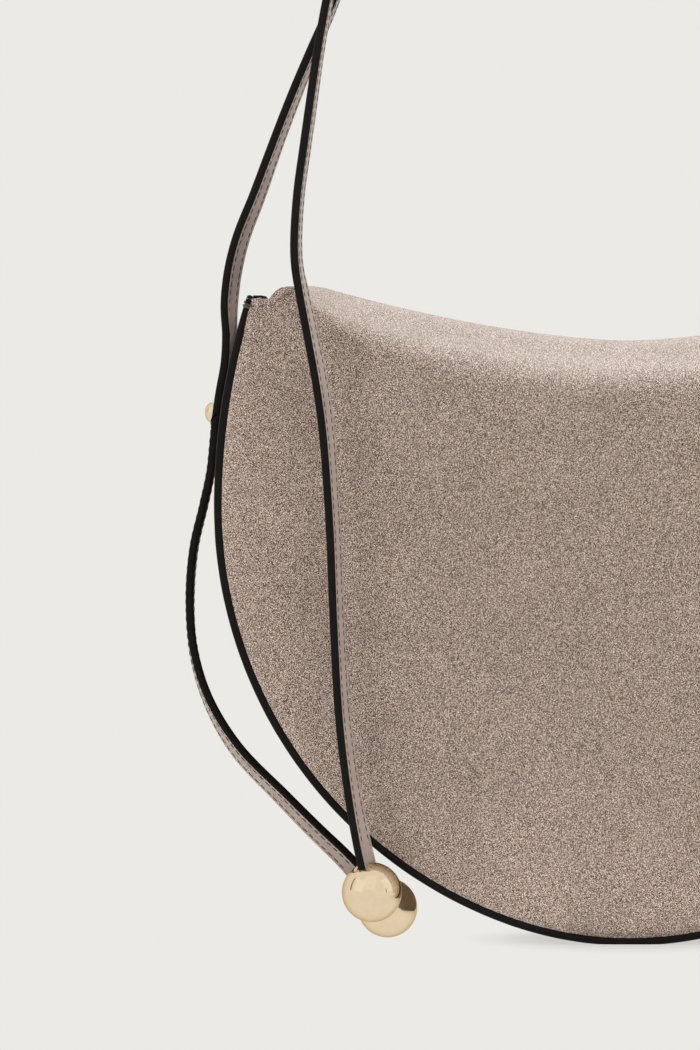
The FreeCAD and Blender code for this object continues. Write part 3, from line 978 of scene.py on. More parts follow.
# Rows of place in millimetres and twist in degrees; rows without a depth lie at the strap's own depth
front_strip_mm = (
    (-101.4, -19.5, 330.0, 7), (-103.4, -22.2, 321.0, 7), (-106.4, -27.2, 304.3, 8),
    (-108.8, -32.2, 288.0, 9), (-111.1, -37.2, 271.7, 9), (-113.3, -42.4, 255.3, 9),
    (-114.3, -47.0, 239.1, 10), (-114.0, -49.2, 231.1, 11), (-112.8, -50.6, 222.9, 14),
    (-109.8, -51.6, 206.6, 18), (-106.9, -51.6, 190.4, 20), (-104.7, -51.6, 174.1, 19),
    (-102.3, -51.6, 141.5, 17), (-101.0, -51.6, 109.1, 17), (-99.1, -51.6, 76.4, 19),
    (-96.2, -51.6, 52.0, 22), (-93.5, -51.6, 35.7, 26), (-91.0, -51.6, 24.0, 27),
)
side_strip_mm = (
    (-97.6, 330.0, 6), (-101.3, 321.0, 8), (-109.4, 303.0, 13), (-115.9, 287.8, 16), (-122.3, 271.4, 18),
    (-128.6, 254.9, 22), (-134.4, 240.5, 25), (-137.4, 228.5, 26), (-138.5, 217.0, 24), (-137.8, 206.5, 16),
    (-138.2, 197.0, 9), (-139.7, 188.0, 3), (-140.85, 180.0, 0), (-141.5, 173.0, 0),
)
rear_strip_mm = (
    (-140.85, 180.0, 0), (-141.8, 170.0, 0), (-142.9, 160.0, 1), (-145.4, 148.4, 2), (-148.7, 134.0, 2),
    (-150.0, 116.0, 1), (-148.5, 99.2, -3), (-143.3, 82.8, -9), (-133.0, 66.4, -19), (-116.7, 49.9, -25),
    (-105.0, 38.4, -28), (-95.5, 29.4, -30), (-90.5, 23.8, -31), (-87.0, 18.0, -31),
)
# Half of a strip's face: distances from its edge in seam insets, and depths in grooves
groove_places = (
    (0.5, 0.0), (0.72, 0.15), (0.86, 0.75), (1.0, 1.0), (1.14, 0.75), (1.28, 0.15), (1.6, 0.0),
)
# Bulge of a strip's middle and of its painted edges, in half thicknesses, and steps round such an edge
face_bulge = 1.02
edge_bulge = 0.55
edge_steps = 6
# Gap between the two strips that meet at a stud
stud_gap = 0.00005


def loop_top():
    return strap_high.z - strap().thickness / 2


def loop_points():
    """Shoulder loop from its top to where the front strip lets go."""
    points = []
    for i in range(loop_steps + 1):
        turn = (math.pi / 2 - loop_lean) * i / loop_steps
        height = loop_top() - loop_radius * (1 - math.cos(turn))
        points.append((-loop_radius * math.sin(turn), -strap().width / 2, height, 0.0))
    return points


def metres(rows):
    """Rows of millimetres and a twist, in metres."""
    front = -strap().width / 2
    made = []
    for row in rows:
        depth = row[1] / 1000 if len(row) == 4 else front
        made.append((row[0] / 1000, depth, row[-2] / 1000, row[-1]))
    return made


def mirrored_rows(rows):
    return [(-x, y, z, -twist) for x, y, z, twist in rows]


def outer_layer():
    """The loop's points, lifted off the strip beneath."""
    lift = strap().thickness * outer_lift
    made = []
    for x, y, z, twist in loop_points():
        turn = math.atan2(-x, z - (loop_top() - loop_radius))
        made.append((x - lift * math.sin(turn), y, z + lift * math.cos(turn), twist))
    return made


def front_rows(side):
    rows = outer_layer() + metres(front_strip_mm)
    return rows if side < 0 else mirrored_rows(rows)


def rear_rows(side):
    rows = metres(rear_strip_mm)
    return rows if side < 0 else mirrored_rows(rows)


def inner_rows():
    left = loop_points() + metres(side_strip_mm)
    return mirrored_rows(left)[:0:-1] + left


def strip_frames(rows, step):
    """Front edge points, width directions and face directions along a strip."""
    line = smooth_path(rows, step)
    frames = []
    for i, row in enumerate(line):
        before = Vector(line[max(i - 1, 0)][:3])
        after = Vector(line[min(i + 1, len(line) - 1)][:3])
        along = (after - before).normalized()
        back = Vector((0.0, 1.0, 0.0))
        back = (back - along * back.dot(along)).normalized()
        twist = math.radians(row[3])
        width = back * math.cos(twist) + along.cross(back) * math.sin(twist)
        frames.append((Vector(row[:3]), width, along.cross(width)))
    return frames


def strip_section():
    """Section of a strip as (width, thickness) places and, for each side, whether it is painted edge."""
    s = strap()
    half = s.thickness / 2
    seam = stitch().strap_inset
    face = [(across * seam, half - depth * s.groove) for across, depth in groove_places]
    face += [(s.width / 2, half * face_bulge)] + [(s.width - a, b) for a, b in reversed(face)]
    ring = []
    painted = []
    for sign in (1, -1):
        for i in range(edge_steps + 1):
            turn = math.pi * i / edge_steps
            edge = half * edge_bulge * (1 - math.sin(turn))
            ring.append((edge if sign > 0 else s.width - edge, -sign * half * math.cos(turn)))
        for across, height in face:
            ring.append((across if sign > 0 else s.width - across, sign * height))
        painted += [True] * edge_steps + [False] * (len(face) + 1)
    return ring, painted


def strip_object(name, rows, trim=Vector):
    """Leather strip along a line, with rounded painted edges and perhaps a trimmed end."""
    ring, painted = strip_section()
    rings = []
    for place, width, face in strip_frames(rows, strap().step):
        rings.append([trim(place + width * a + face * b) for a, b in ring])
    indices = [1 if side else 0 for side in painted] * (len(rings) - 1) + [1, 1]
    return outward_normals(mesh_object(name, *tube(rings), ("grained_strap", "painted_edge"), indices))


def below_stud(y, radius):
    """Height of the lower half of a circle round a stud."""
    return strap().stud_height - math.sqrt(max(radius ** 2 - y ** 2, 0.0))


def round_end(point):
    """Keep a strip's lower end inside a circle round its stud."""
    return Vector((point.x, point.y, max(point.z, below_stud(point.y, strap().width / 2))))


def hollow_end(point):
    """Keep a strip's upper end outside that circle."""
    return Vector((point.x, point.y, min(point.z, below_stud(point.y, strap().width / 2 + stud_gap))))


# Operators

# Greatest gap that is closed where the face and the flap meet
weld = 2e-5
# Least part of a face's direction that counts as looking to the front
facing = 0.9
# The painted top light: it fades between these shares of the fold's half width
top_light_fade_from = 0.62
top_light_fade_to = 0.95


class HALFMOON_OT_front_suede(bpy.types.Operator):
    """Front face and flap, one piece of suede that folds over the top"""

    bl_idname = "halfmoon.front_suede"
    bl_label = "Front face and flap"

    def execute(self, context):
        s = bag()
        flat, faces = sheet(front_boundary(), s.grid)
        points = [(p.x, front_face_y(p.x, p.y), p.y) for p in flat]
        flap_points, flap_faces = flap_grid()
        faces = [tuple(reversed(f)) for f in faces] + shifted(flap_faces, len(points))
        obj = mesh_object("front_suede", points + flap_points, faces, suede_and_edge)
        merged(obj, weld)
        outward_normals(obj)
        faced(obj, (0, -1, 0), lambda p: p.center.y < front_high.y and abs(p.normal.y) > facing)
        thickened(obj, s.sheet_thickness, 1)
        self.mark_painted_top_light(obj)
        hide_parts("front_panel", "flap")
        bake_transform(obj)
        return {"FINISHED"}

    def mark_painted_top_light(self, obj):
        """Store how far each point of the suede lies on the top of the bag, for the painted top light."""
        s = bag()
        spread = obj.data.attributes.new("painted_top_light", "FLOAT", "POINT")
        for point, value in zip(obj.data.vertices, spread.data):
            x, y, _ = point.co
            rise = smooth(front_low.y - s.puff, front_low.y + s.crown_setback / 6, y)
            fall = smooth(flap_high.y - s.back_fold, flap_high.y - s.back_fold / 3, y)
            ends = smooth(s.fold_half_width * top_light_fade_from, s.fold_half_width * top_light_fade_to, abs(x))
            value.value = rise * (1 - fall) * (1 - ends)


# Points round the bead of the mouth, and its depth in bead radii
bead_points = 12
bead_depth = 1.4


class HALFMOON_OT_back_panel(bpy.types.Operator):
    """Back face with its hollow mouth"""

    bl_idname = "halfmoon.back_panel"
    bl_label = "Back face"

    def execute(self, context):
        s = bag()
        flat, faces = sheet(back_boundary(face_inset), s.grid)
        points = [(p.x, back_high.y + puff(p.x, p.y, mouth(p.x)), p.y) for p in flat]
        obj = mesh_object("back_suede", points, faces, suede_and_edge)
        faced(obj, (0, 1, 0))
        thickened(obj, s.sheet_thickness, 1)
        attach(obj, "bag")
        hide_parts("back_panel")
        bead = self.mouth_bead()
        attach(bead, "bag")
        return {"FINISHED"}

    def mouth_bead(self):
        """Painted bead along the mouth of the back face, from ear to ear."""
        s = bag()
        half = s.half_width - s.ear_inset - s.band_end
        count = int(2 * half / s.grid * 2)
        middle = back_high.y - s.sheet_thickness / 2
        rings = []
        for i in range(count + 1):
            x = mix(-half, half, i / count)
            rings.append(oval(x, middle, mouth(x), s.mouth_bead * bead_depth, s.mouth_bead, bead_points))
        return outward_normals(mesh_object("mouth_bead", *tube(rings), ("painted_edge",)))


# Rows across the gusset, its gap to the outline and its thickness
gusset_rows = 13
gusset_gap = 0.0002
gusset_thickness = 0.0018
# Heights between which its hollow begins, and distances from a stud between which the hollow ends
hollow_from = 0.02
hollow_full = 0.09
stud_flat = 0.004
stud_flat_fade = 0.03
# Share of the half width beyond which the gusset's faces surely look sideways
sideways_from = 0.95


class HALFMOON_OT_gusset(bpy.types.Operator):
    """Suede strip between the two faces, on which the bag stands"""

    bl_idname = "halfmoon.gusset"
    bl_label = "Gusset"

    def execute(self, context):
        s = bag()
        line = outline(s.grid)
        points = []
        for k in range(gusset_rows):
            t = 2 * k / (gusset_rows - 1) - 1
            y = mix(gusset_low.y, gusset_high.y, k / (gusset_rows - 1))
            for (x, z), (out_x, out_z) in line:
                lift = smooth(hollow_from, hollow_full, z)
                depth = gusset_gap + s.gusset_hollow * (1 - t * t) * lift * self.stud_clear(z)
                points.append((x - out_x * depth, y, max(z - out_z * depth, 0.0)))
        obj = mesh_object("gusset_suede", points, grid_faces(gusset_rows, len(line)), suede_and_edge)
        faced(obj, (1, 0, 0), lambda p: p.center.x > s.half_width * sideways_from)
        thickened(obj, gusset_thickness, 1)
        floor_clamp(obj)
        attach(obj, "bag")
        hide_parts("gusset")
        return {"FINISHED"}

    def stud_clear(self, height):
        """Share of the gusset's hollow that is left at a height: none under the studs."""
        return smooth(stud_flat, stud_flat_fade, abs(height - strap().stud_height))


# Section of a painted seam: half its depth, how far it stands proud, how square and uneven it is
seam_depth = 0.0016
seam_proud = 0.0003
seam_square = 0.7
seam_points = 16
seam_change = 0.03
seam_waves = 160
# Cap on a seam's end: distances below the end between which it swells, and its swell in depth
cap_from = 0.0016
cap_full = 0.0008
cap_swell = 0.1
# Rings that round off a seam's end: how far past it they lie, and their size
end_sizes = ((0.0006, 0.97), (0.0010, 0.8), (0.0013, 0.45))
# Thread tack: turns, their spacing, the thread's radius, its room round the seam and the seam's own middle
tack_turns = 3
tack_spacing = 0.00042
tack_thread = 0.00024
tack_wide = 1.06
tack_deep = 1.05
tack_middle = 0.0013
tack_steps = 24
tack_points = 8
# Stretch of the seam below the ears on which a tack's place is looked for
tack_search = 0.02


class HALFMOON_OT_piping(bpy.types.Operator):
    """Painted seams round the two faces, with a rounded cap and a thread tack at each ear"""

    bl_idname = "halfmoon.piping"
    bl_label = "Painted seams"

    def execute(self, context):
        for node, depth, outward in (("front_piping", front_low.y, -1), ("back_piping", back_high.y, 1)):
            rings = self.seam_rings(depth, outward)
            obj = mesh_object(node.replace("piping", "seam"), *tube(rings), ("painted_edge",))
            outward_normals(obj)
            floor_clamp(obj)
            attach(obj, "bag")
            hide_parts(node)
            tack = self.tacks(node.replace("piping", "ear_tacks"), depth, outward)
            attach(tack, "bag")
        return {"FINISHED"}

    def seam_line(self):
        """Middle line of a painted seam: places, outward directions and half widths."""
        made = []
        s = bag()
        for (x, z), (out_x, out_z) in outline(s.grid * painted_seam_spacing):
            z = min(z, s.ear_height - s.ear_drop)
            half = band_width(z) / 2
            made.append(((x - out_x * half, z - out_z * half), (out_x, out_z), half))
        return made

    def seam_point(self, x, z, out, half, depth, outward, turn, swell):
        """Point of a seam's rounded section, which stands a little proud of its face."""
        middle = depth + outward * seam_proud - outward * seam_depth
        a = squared(math.cos(turn), seam_square) * half
        b = squared(math.sin(turn), seam_square) * (seam_depth * swell)
        return x + out[0] * a, middle + b, z + out[1] * a

    def seam_rings(self, depth, outward):
        s = bag()
        end = s.ear_height - s.ear_drop
        rings = []
        for (x, z), out, half in self.seam_line():
            uneven = 1 + seam_change * noise.noise(Vector((x, z, depth)) * seam_waves)
            cap = smooth(end - cap_from, end - cap_full, z) if z > s.widest_height else 0.0
            wide = mix(half * uneven, s.ear_cap, cap)
            swell = 1 + cap_swell * cap
            ring = [self.seam_point(x, z, out, wide, depth, outward, t, swell) for t in turns(seam_points)]
            rings.append(ring)
        return self.end_rings(rings[1], rings[0])[::-1] + rings + self.end_rings(rings[-2], rings[-1])

    def end_rings(self, before, last):
        """Rings past the end of a tube, which round it off."""
        middle = sum((Vector(p) for p in last), Vector()) / len(last)
        inner = sum((Vector(p) for p in before), Vector()) / len(before)
        past = (middle - inner).normalized()
        made = []
        for reach, size in end_sizes:
            made.append([tuple(middle + past * reach + (Vector(p) - middle) * size) for p in last])
        return made

    def tacks(self, name, depth, outward):
        """Turns of thread round the seam below each ear."""
        s = bag()
        points = []
        faces = []
        up = Vector((0.0, 0.0, 1.0))
        line = [row for row in self.seam_line() if row[0][1] > s.ear_height - tack_search]
        for side, _ in sides:
            for turn in range(tack_turns):
                height = s.ear_height - s.ear_tack - turn * tack_spacing
                (x, _), out, half = min(line, key=lambda r: abs(r[0][1] - height) + (r[0][0] * side < 0))
                core = Vector((x, depth - outward * tack_middle, height))
                rings = []
                for a in turns(tack_steps) + [2 * math.pi]:
                    place = self.seam_point(x, height, out, half * tack_wide, depth, outward, a, tack_deep)
                    middle = Vector(place)
                    away = (middle - core).normalized()
                    spokes = [away * math.cos(b) + up * math.sin(b) for b in turns(tack_points)]
                    rings.append([middle + spoke * tack_thread for spoke in spokes])
                ring_points, ring_faces = tube(rings, closed_ends=False)
                faces += shifted(ring_faces, len(points))
                points += ring_points
        return outward_normals(merged(mesh_object(name, points, faces, ("sewing_thread",))))


# Gusset lining: rows across it, its depth below the outline and its height above the floor
side_lining_rows = 5
side_lining_depth = 0.0033
side_lining_floor = 0.0030
# Flap lining: share of the flap's width, and its gap to the suede
flap_lining_share = 0.965
flap_lining_gap = 0.00005


class HALFMOON_OT_linings(bpy.types.Operator):
    """Woven lining of the faces, the gusset and the flap"""

    bl_idname = "halfmoon.linings"
    bl_label = "Linings"

    def execute(self, context):
        s = bag()
        for node, boundary, y, drop, inward in (
            ("front_lining", front_lining_boundary(), front_high.y, 0.0, 1),
            ("back_lining", back_boundary(lining_inset), back_low.y, s.tuck, -1),
        ):
            flat, faces = sheet(boundary, s.grid * 2)
            points = [(p.x, y, p.y - drop) for p in flat]
            cloth = mesh_object(node + "_cloth", points, faces, ("twill_lining",))
            faced(cloth, (0, inward, 0))
            self.place(thickened(cloth, -s.lining_thickness, 0), node)

        line = outline(s.grid)
        points = []
        for k in range(side_lining_rows):
            y = mix(gusset_low.y, gusset_high.y, k / (side_lining_rows - 1))
            for (x, z), (out_x, out_z) in line:
                height = max(z - out_z * side_lining_depth, side_lining_floor)
                points.append((x - out_x * side_lining_depth, y, height))
        faces = grid_faces(side_lining_rows, len(line))
        side = outward_normals(mesh_object("gusset_lining_cloth", points, faces, ("twill_lining",)))
        self.place(thickened(side, s.lining_thickness / 2, 0), "gusset_lining")

        points, faces = flap_grid(flap_lining_share, fold_steps + slope_steps // 2, -2)
        flap = mesh_object("flap_lining_cloth", points, faces, ("twill_lining",))
        faced(outward_normals(flap), (0, 0, 1))
        normals = [v.normal.copy() for v in flap.data.vertices]
        for vertex, normal in zip(flap.data.vertices, normals):
            vertex.co -= normal * (s.sheet_thickness + flap_lining_gap)
        thickened(flap, s.lining_thickness, 0)
        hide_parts("flap_lining")
        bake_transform(flap)
        return {"FINISHED"}

    def place(self, obj, node):
        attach(obj, "bag")
        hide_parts(node)


pocket_columns = 41
pocket_rows = 25
pocket_thickness = 0.0008
pocket_corner = 0.018
pocket_belly = 0.0030
# Binding of the pocket's top edge: points round it, how far it is set back, and half its depth and height
binding_points = 12
binding_setback = 0.0004
binding_depth = 0.0010
binding_height = 0.0030


class HALFMOON_OT_pocket(bpy.types.Operator):
    """Slip pocket on the back lining, with a bound top edge"""

    bl_idname = "halfmoon.pocket"
    bl_label = "Slip pocket"

    def execute(self, context):
        points = []
        half = pocket_high.x
        places = [2 * k / (pocket_columns - 1) - 1 for k in range(pocket_columns)]
        for i in range(pocket_rows):
            t = i / (pocket_rows - 1)
            z = mix(pocket_low.z, pocket_high.z, t)
            drop = max(pocket_corner - (z - pocket_low.z), 0.0)
            reach = half - pocket_corner + math.sqrt(max(pocket_corner ** 2 - drop ** 2, 0.0))
            for u in places:
                points.append((u * reach, pocket_low.y - pocket_belly * (1 - u * u) * t ** 2, z))
        faces = grid_faces(pocket_rows, pocket_columns)
        obj = mesh_object("slip_pocket_cloth", points, faces, ("twill_lining",))
        faced(obj, (0, -1, 0))
        thickened(obj, pocket_thickness, 0)
        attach(obj, "bag")
        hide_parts("slip_pocket")

        rings = []
        height = (binding_low.z + binding_high.z) / 2
        for u in places:
            middle = pocket_low.y + binding_setback - pocket_belly * (1 - u * u)
            rings.append(oval(u * half, middle, height, binding_depth, binding_height, binding_points))
        trim = outward_normals(mesh_object("pocket_binding_strip", *tube(rings), ("grained_strap",)))
        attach(trim, "bag")
        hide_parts("pocket_binding")
        return {"FINISHED"}


class HALFMOON_OT_straps(bpy.types.Operator):
    """Strap strips: the inner loop, the outer strip with its front tails, and the rear tails"""

    bl_idname = "halfmoon.straps"
    bl_label = "Strap strips"

    def execute(self, context):
        inner = strip_object("strap_loop", inner_rows(), round_end)
        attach(inner, "strap_body")
        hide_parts("strap_inner")
        for side, word in sides:
            front = strip_object("front_strip_" + word, front_rows(side))
            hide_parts("front_tail_" + word, "strap_outer")
            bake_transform(front)
            rear = strip_object("rear_strip_" + word, rear_rows(side), hollow_end)
            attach(rear, "rear_end_" + word)
            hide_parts("rear_tail_" + word)
        return {"FINISHED"}


# Steps round and up a ball, the rings of a strip that lie in its slot, and the slot's lip: its width,
# the least turn between faces that is rounded, and the least turn that is left sharp
ball_round_steps = 64
ball_up_steps = 40
slot_rings = 9
lip_width = 0.00018
lip_turn = math.radians(50)
lip_sharp = math.radians(40)


class HALFMOON_OT_balls(bpy.types.Operator):
    """Gold balls, each with a slot in which its strip ends"""

    bl_idname = "halfmoon.balls"
    bl_label = "Gold balls"

    def execute(self, context):
        for side, word in sides:
            for place, rows in (("front", front_rows(side)), ("rear", rear_rows(side))):
                node = place + "_ball_" + word
                low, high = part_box(node)
                obj = self.ball(node.replace("ball", "gold_ball"), (low + high) / 2, rows)
                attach(obj, place + "_end_" + word)
                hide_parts(node)
        return {"FINISHED"}

    def ball(self, name, centre, rows):
        work = bmesh.new()
        bmesh.ops.create_uvsphere(
            work, u_segments=ball_round_steps, v_segments=ball_up_steps, radius=strap().ball_radius,
        )
        bmesh.ops.translate(work, verts=work.verts, vec=centre)
        mesh = bpy.data.meshes.new(name)
        work.to_mesh(mesh)
        work.free()
        mesh.materials.append(material("pale_gold"))
        obj = new_object(name, mesh)
        cutter = self.cutter(rows)
        slot = obj.modifiers.new("slot", "BOOLEAN")
        slot.object = cutter
        slot.operation = "DIFFERENCE"
        slot.solver = "EXACT"
        lip = obj.modifiers.new("lip", "BEVEL")
        lip.width = lip_width
        lip.segments = 2
        lip.limit_method = "ANGLE"
        lip.angle_limit = lip_turn
        made_plain(obj)
        bpy.data.objects.remove(cutter)
        shaded_smooth(obj.data)
        obj.data.set_sharp_from_angle(angle=lip_sharp)
        return obj

    def cutter(self, rows):
        """Box round the last stretch of a strip."""
        s = strap()
        gap = s.slot_gap
        half = s.thickness / 2 + gap
        corners = ((-gap, -half), (s.width + gap, -half), (s.width + gap, half), (-gap, half))
        rings = []
        for place, width, face in strip_frames(rows, s.step)[-slot_rings:]:
            rings.append([place + width * a + face * b for a, b in corners])
        return outward_normals(mesh_object("slot_cutter", *tube(rings)))


# Stud: rise of its dome, steps up and round it, the dome's roundness, and its rim and shank
# as shares of the radius with their depths below the dome
dome_rise = 0.0025
dome_steps = 14
dome_round = 0.85
stud_points = 40
stud_rim = ((1.0, 0.0003), (0.55, 0.0004))
shank_share = 0.38
stud_sharp = math.radians(50)


class HALFMOON_OT_studs(bpy.types.Operator):
    """Domed side studs, and the finish of the metal parts inside"""

    bl_idname = "halfmoon.studs"
    bl_label = "Studs and snap"

    def execute(self, context):
        for side, word in sides:
            obj = self.stud("gold_stud_" + word, side, "stud_" + word)
            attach(obj, "bag")
            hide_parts("stud_" + word)
        for node in ("stud_barrel_left", "stud_barrel_right", "flap_snap", "back_snap"):
            self.dress(node, "pale_gold")
        for node in ("flap_snap_washer", "back_snap_washer"):
            self.dress(node, "plain_steel")
        return {"FINISHED"}

    def stud(self, name, side, node):
        """Dome with a rounded rim, turned about the stud's axis."""
        radius = strap().stud_radius
        low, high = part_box(node)
        tip = low.x if side < 0 else high.x
        height = (low.z + high.z) / 2
        profile = [(0.0, 0.0)]
        for i in range(1, dome_steps + 1):
            turn = math.pi / 2 * i / dome_steps
            profile.append((radius * math.sin(turn) ** dome_round, dome_rise * (1 - math.cos(turn))))
        profile += [(radius * wide, dome_rise + depth) for wide, depth in stud_rim]
        profile.append((radius * shank_share, abs(high.x - low.x)))
        rings = [oval(tip - side * depth, 0.0, height, wide, wide, stud_points) for wide, depth in profile]
        obj = outward_normals(merged(mesh_object(name, *tube(rings), ("pale_gold",))))
        obj.data.set_sharp_from_angle(angle=stud_sharp)
        return obj

    def dress(self, node, look):
        """Give a node of the frame one of the bag's materials."""
        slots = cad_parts[node].data.materials
        slots.clear()
        slots.append(material(look))


# Stitches: their least and greatest length as factors, bare ends of the loop's seams and of the other
# strips' seams, the share of a groove that a seam lies in, and the height over which flush stitches rise
stitch_least = 0.85
stitch_greatest = 1.12
loop_gaps = (0.02, 0.02)
tail_gaps = (0.003, 0.012)
seam_sink = 0.35
flush_fade = 0.01
# Seams on the suede and the pocket: points along them, share of the flap's width that the hem's seam runs,
# the column towards which a side seam is set in, and the pocket seam's inset, squareness and gap
hem_steps = 80
hem_reach = 0.97
hem_inner = 0.9
mouth_steps = 90
pocket_steps = 60
pocket_inset = 0.002
pocket_square = 0.35
pocket_proud = 0.00005


class HALFMOON_OT_stitches(bpy.types.Operator):
    """Seams of thread on the straps, the ears, the flap, the mouth and the pocket"""

    bl_idname = "halfmoon.stitches"
    bl_label = "Stitches"

    def execute(self, context):
        tree = stitch_tree()
        loop = stitched("loop_stitches", strip_seams(inner_rows(), loop_gaps, stitch().flush_below), tree)
        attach(loop, "strap_body")
        for side, word in sides:
            front = stitched("front_strip_stitches_" + word, strip_seams(front_rows(side), tail_gaps), tree)
            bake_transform(front)
            rear = stitched("rear_strip_stitches_" + word, strip_seams(rear_rows(side), tail_gaps), tree)
            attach(rear, "rear_end_" + word)
        flap = stitched("flap_stitches", flap_seams(), tree)
        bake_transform(flap)
        body = stitched("bag_stitches", bag_seams(), tree)
        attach(body, "bag")
        return {"FINISHED"}


def strip_seams(rows, gaps, flush_below=0.0):
    """Seams on both faces of a strip near its edges, sunk where the inner face lies on the gusset."""
    s = strap()
    inset = stitch().strap_inset
    half = s.thickness / 2 - s.groove * seam_sink
    frames = strip_frames(rows, s.step)[round(gaps[0] / s.step):-round(gaps[1] / s.step)]
    lines = []
    for face_side in (-1, 1):
        for across in (inset, s.width - inset):
            line = []
            for place, width, face in frames:
                out = half
                if face_side > 0:
                    out -= stitch().radius * (1 - smooth(flush_below, flush_below + flush_fade, place.z))
                line.append(place + width * across + face * out * face_side)
            lines.append(line)
    return lines


def towards(place, other, distance):
    place = Vector(place)
    return place + (Vector(other) - place).normalized() * distance


def flap_seams():
    """Seams down the sides and along the hem of the flap."""
    inset = stitch().hem_inset
    lines = []
    for side, _ in sides:
        edge = flap_column(side)
        inner = flap_column(side * hem_inner)
        lines.append([towards(p, q, inset) for p, q in zip(edge, inner)])
    hem = []
    for i in range(hem_steps + 1):
        column = flap_column(mix(-hem_reach, hem_reach, i / hem_steps))
        hem.append(towards(column[-1], column[-3], inset))
    lines.append(hem)
    return lines


def bag_seams():
    """Seams along the top of the ears, the mouth and the pocket."""
    s = bag()
    inset = stitch().hem_inset
    lines = [inside_line(ear_top(side), side, inset) for side, _ in sides]
    half = s.half_width - s.ear_inset - s.band
    places = [mix(-half, half, i / mouth_steps) for i in range(mouth_steps + 1)]
    lines.append([Vector((x, back_high.y, mouth(x) - inset)) for x in places])
    pocket = []
    for i in range(pocket_steps + 1):
        turn = math.pi * i / pocket_steps
        x = (pocket_high.x - pocket_inset) * squared(math.cos(turn), pocket_square)
        drop = (pocket_high.z - pocket_low.z - pocket_inset) * math.sin(turn) ** pocket_square
        pocket.append(Vector((x, pocket_low.y - pocket_proud, pocket_high.z - drop)))
    lines.append(pocket)
    return lines


def inside_line(edge, side, inset):
    """Line on the front face at an even distance below an ear's top edge."""
    made = []
    for i, (x, z) in enumerate(edge):
        before = edge[max(i - 1, 0)]
        after = edge[min(i + 1, len(edge) - 1)]
        run = Vector((after[0] - before[0], after[1] - before[1])).normalized()
        place = Vector((x, z)) + Vector((run.y, -run.x)) * -side * inset
        made.append(Vector((place.x, front_face_y(place.x, place.y), place.y)))
    return made


def stitched(name, lines, tree):
    """Plain mesh of stitches along some lines."""
    s = stitch()
    points = []
    edges = []
    for line in lines:
        edges += [(len(points) + i, len(points) + i + 1) for i in range(len(line) - 1)]
        points += [tuple(p) for p in line]
    mesh = bpy.data.meshes.new(name)
    mesh.from_pydata(points, edges, [])
    obj = new_object(name, mesh)
    sewing = obj.modifiers.new("sewing", "NODES")
    sewing.node_group = tree
    values = {"Pitch": s.pitch, "Length": s.run, "Radius": s.radius, "Seed": s.seed}
    values["Thread"] = material("sewing_thread")
    for item in tree.interface.items_tree:
        if item.in_out == "INPUT" and item.name in values:
            sewing[item.identifier] = values[item.name]
    made_plain(obj)
    shaded_smooth(obj.data)
    return obj


def stitch_tree():
    """Node tree that turns lines into rows of short, slightly uneven stitches."""
    tree = bpy.data.node_groups.new("Sewn line", "GeometryNodeTree")
    for name, end, kind in (
        ("Geometry", "INPUT", "Geometry"), ("Pitch", "INPUT", "Float"), ("Length", "INPUT", "Float"),
        ("Radius", "INPUT", "Float"), ("Seed", "INPUT", "Int"), ("Thread", "INPUT", "Material"),
        ("Geometry", "OUTPUT", "Geometry"),
    ):
        tree.interface.new_socket(name, in_out=end, socket_type="NodeSocket" + kind)
    given = tree.nodes.new("NodeGroupInput").outputs
    line = add_node(tree, "GeometryNodeMeshToCurve", {"Mesh": given["Geometry"]}).outputs["Curve"]
    spaced = add_node(
        tree, "GeometryNodeCurveToPoints", {"Curve": line, "Length": given["Pitch"]}, mode="LENGTH",
    ).outputs
    bead = add_node(tree, "GeometryNodeMeshIcoSphere", {"Radius": 1.0, "Subdivisions": 2})
    turned = add_node(tree, "FunctionNodeAlignRotationToVector", {"Vector": spaced["Tangent"]}, axis="Z")
    uneven = add_node(
        tree, "FunctionNodeRandomValue", {2: stitch_least, 3: stitch_greatest, "Seed": given["Seed"]},
    )
    half = math_node(tree, "MULTIPLY", given["Length"], 0.5)
    run = math_node(tree, "MULTIPLY", half, uneven.outputs[1])
    size = add_node(tree, "ShaderNodeCombineXYZ", {"X": given["Radius"], "Y": given["Radius"], "Z": run})
    placed = add_node(tree, "GeometryNodeInstanceOnPoints", {
        "Points": spaced["Points"], "Instance": bead.outputs["Mesh"],
        "Rotation": turned.outputs["Rotation"], "Scale": size.outputs["Vector"],
    })
    real = add_node(tree, "GeometryNodeRealizeInstances", {"Geometry": placed.outputs["Instances"]})
    sewn = add_node(tree, "GeometryNodeSetMaterial", {
        "Geometry": real.outputs["Geometry"], "Material": given["Thread"],
    })
    add_node(tree, "NodeGroupOutput", {"Geometry": sewn.outputs["Geometry"]})
    return tree


# Lamps: name, place, width and height in metres, watts, and the place at which they aim
bag_middle = (-0.05, 0.0, 0.12)
light_lamps = (
    ("top_light", (-0.05, 0.10, 1.60), (3.2, 2.6), 112.0, bag_middle),
    ("key_light", (-2.5, -2.1, 0.45), (1.4, 1.6), 47.0, bag_middle),
    ("fill_light", (2.9, -1.0, 0.50), (2.4, 2.4), 20.0, bag_middle),
    ("bounce_light", (0.06, -0.0735, 0.003), (0.34, 0.07), 0.088, (0.06, -0.0735, 1.0)),
)
# Lamps that show only as panels in the polished metal
panel_lamps = (
    ("panel_light", (-0.35, -2.3, 2.0), (2.2, 3.4), 1.5, bag_middle),
    ("left_panel", (-2.0, -1.4, 1.15), (1.9, 2.0), 1.4, bag_middle),
    ("right_panel", (2.1, -0.9, 1.15), (1.5, 2.0), 1.0, bag_middle),
)
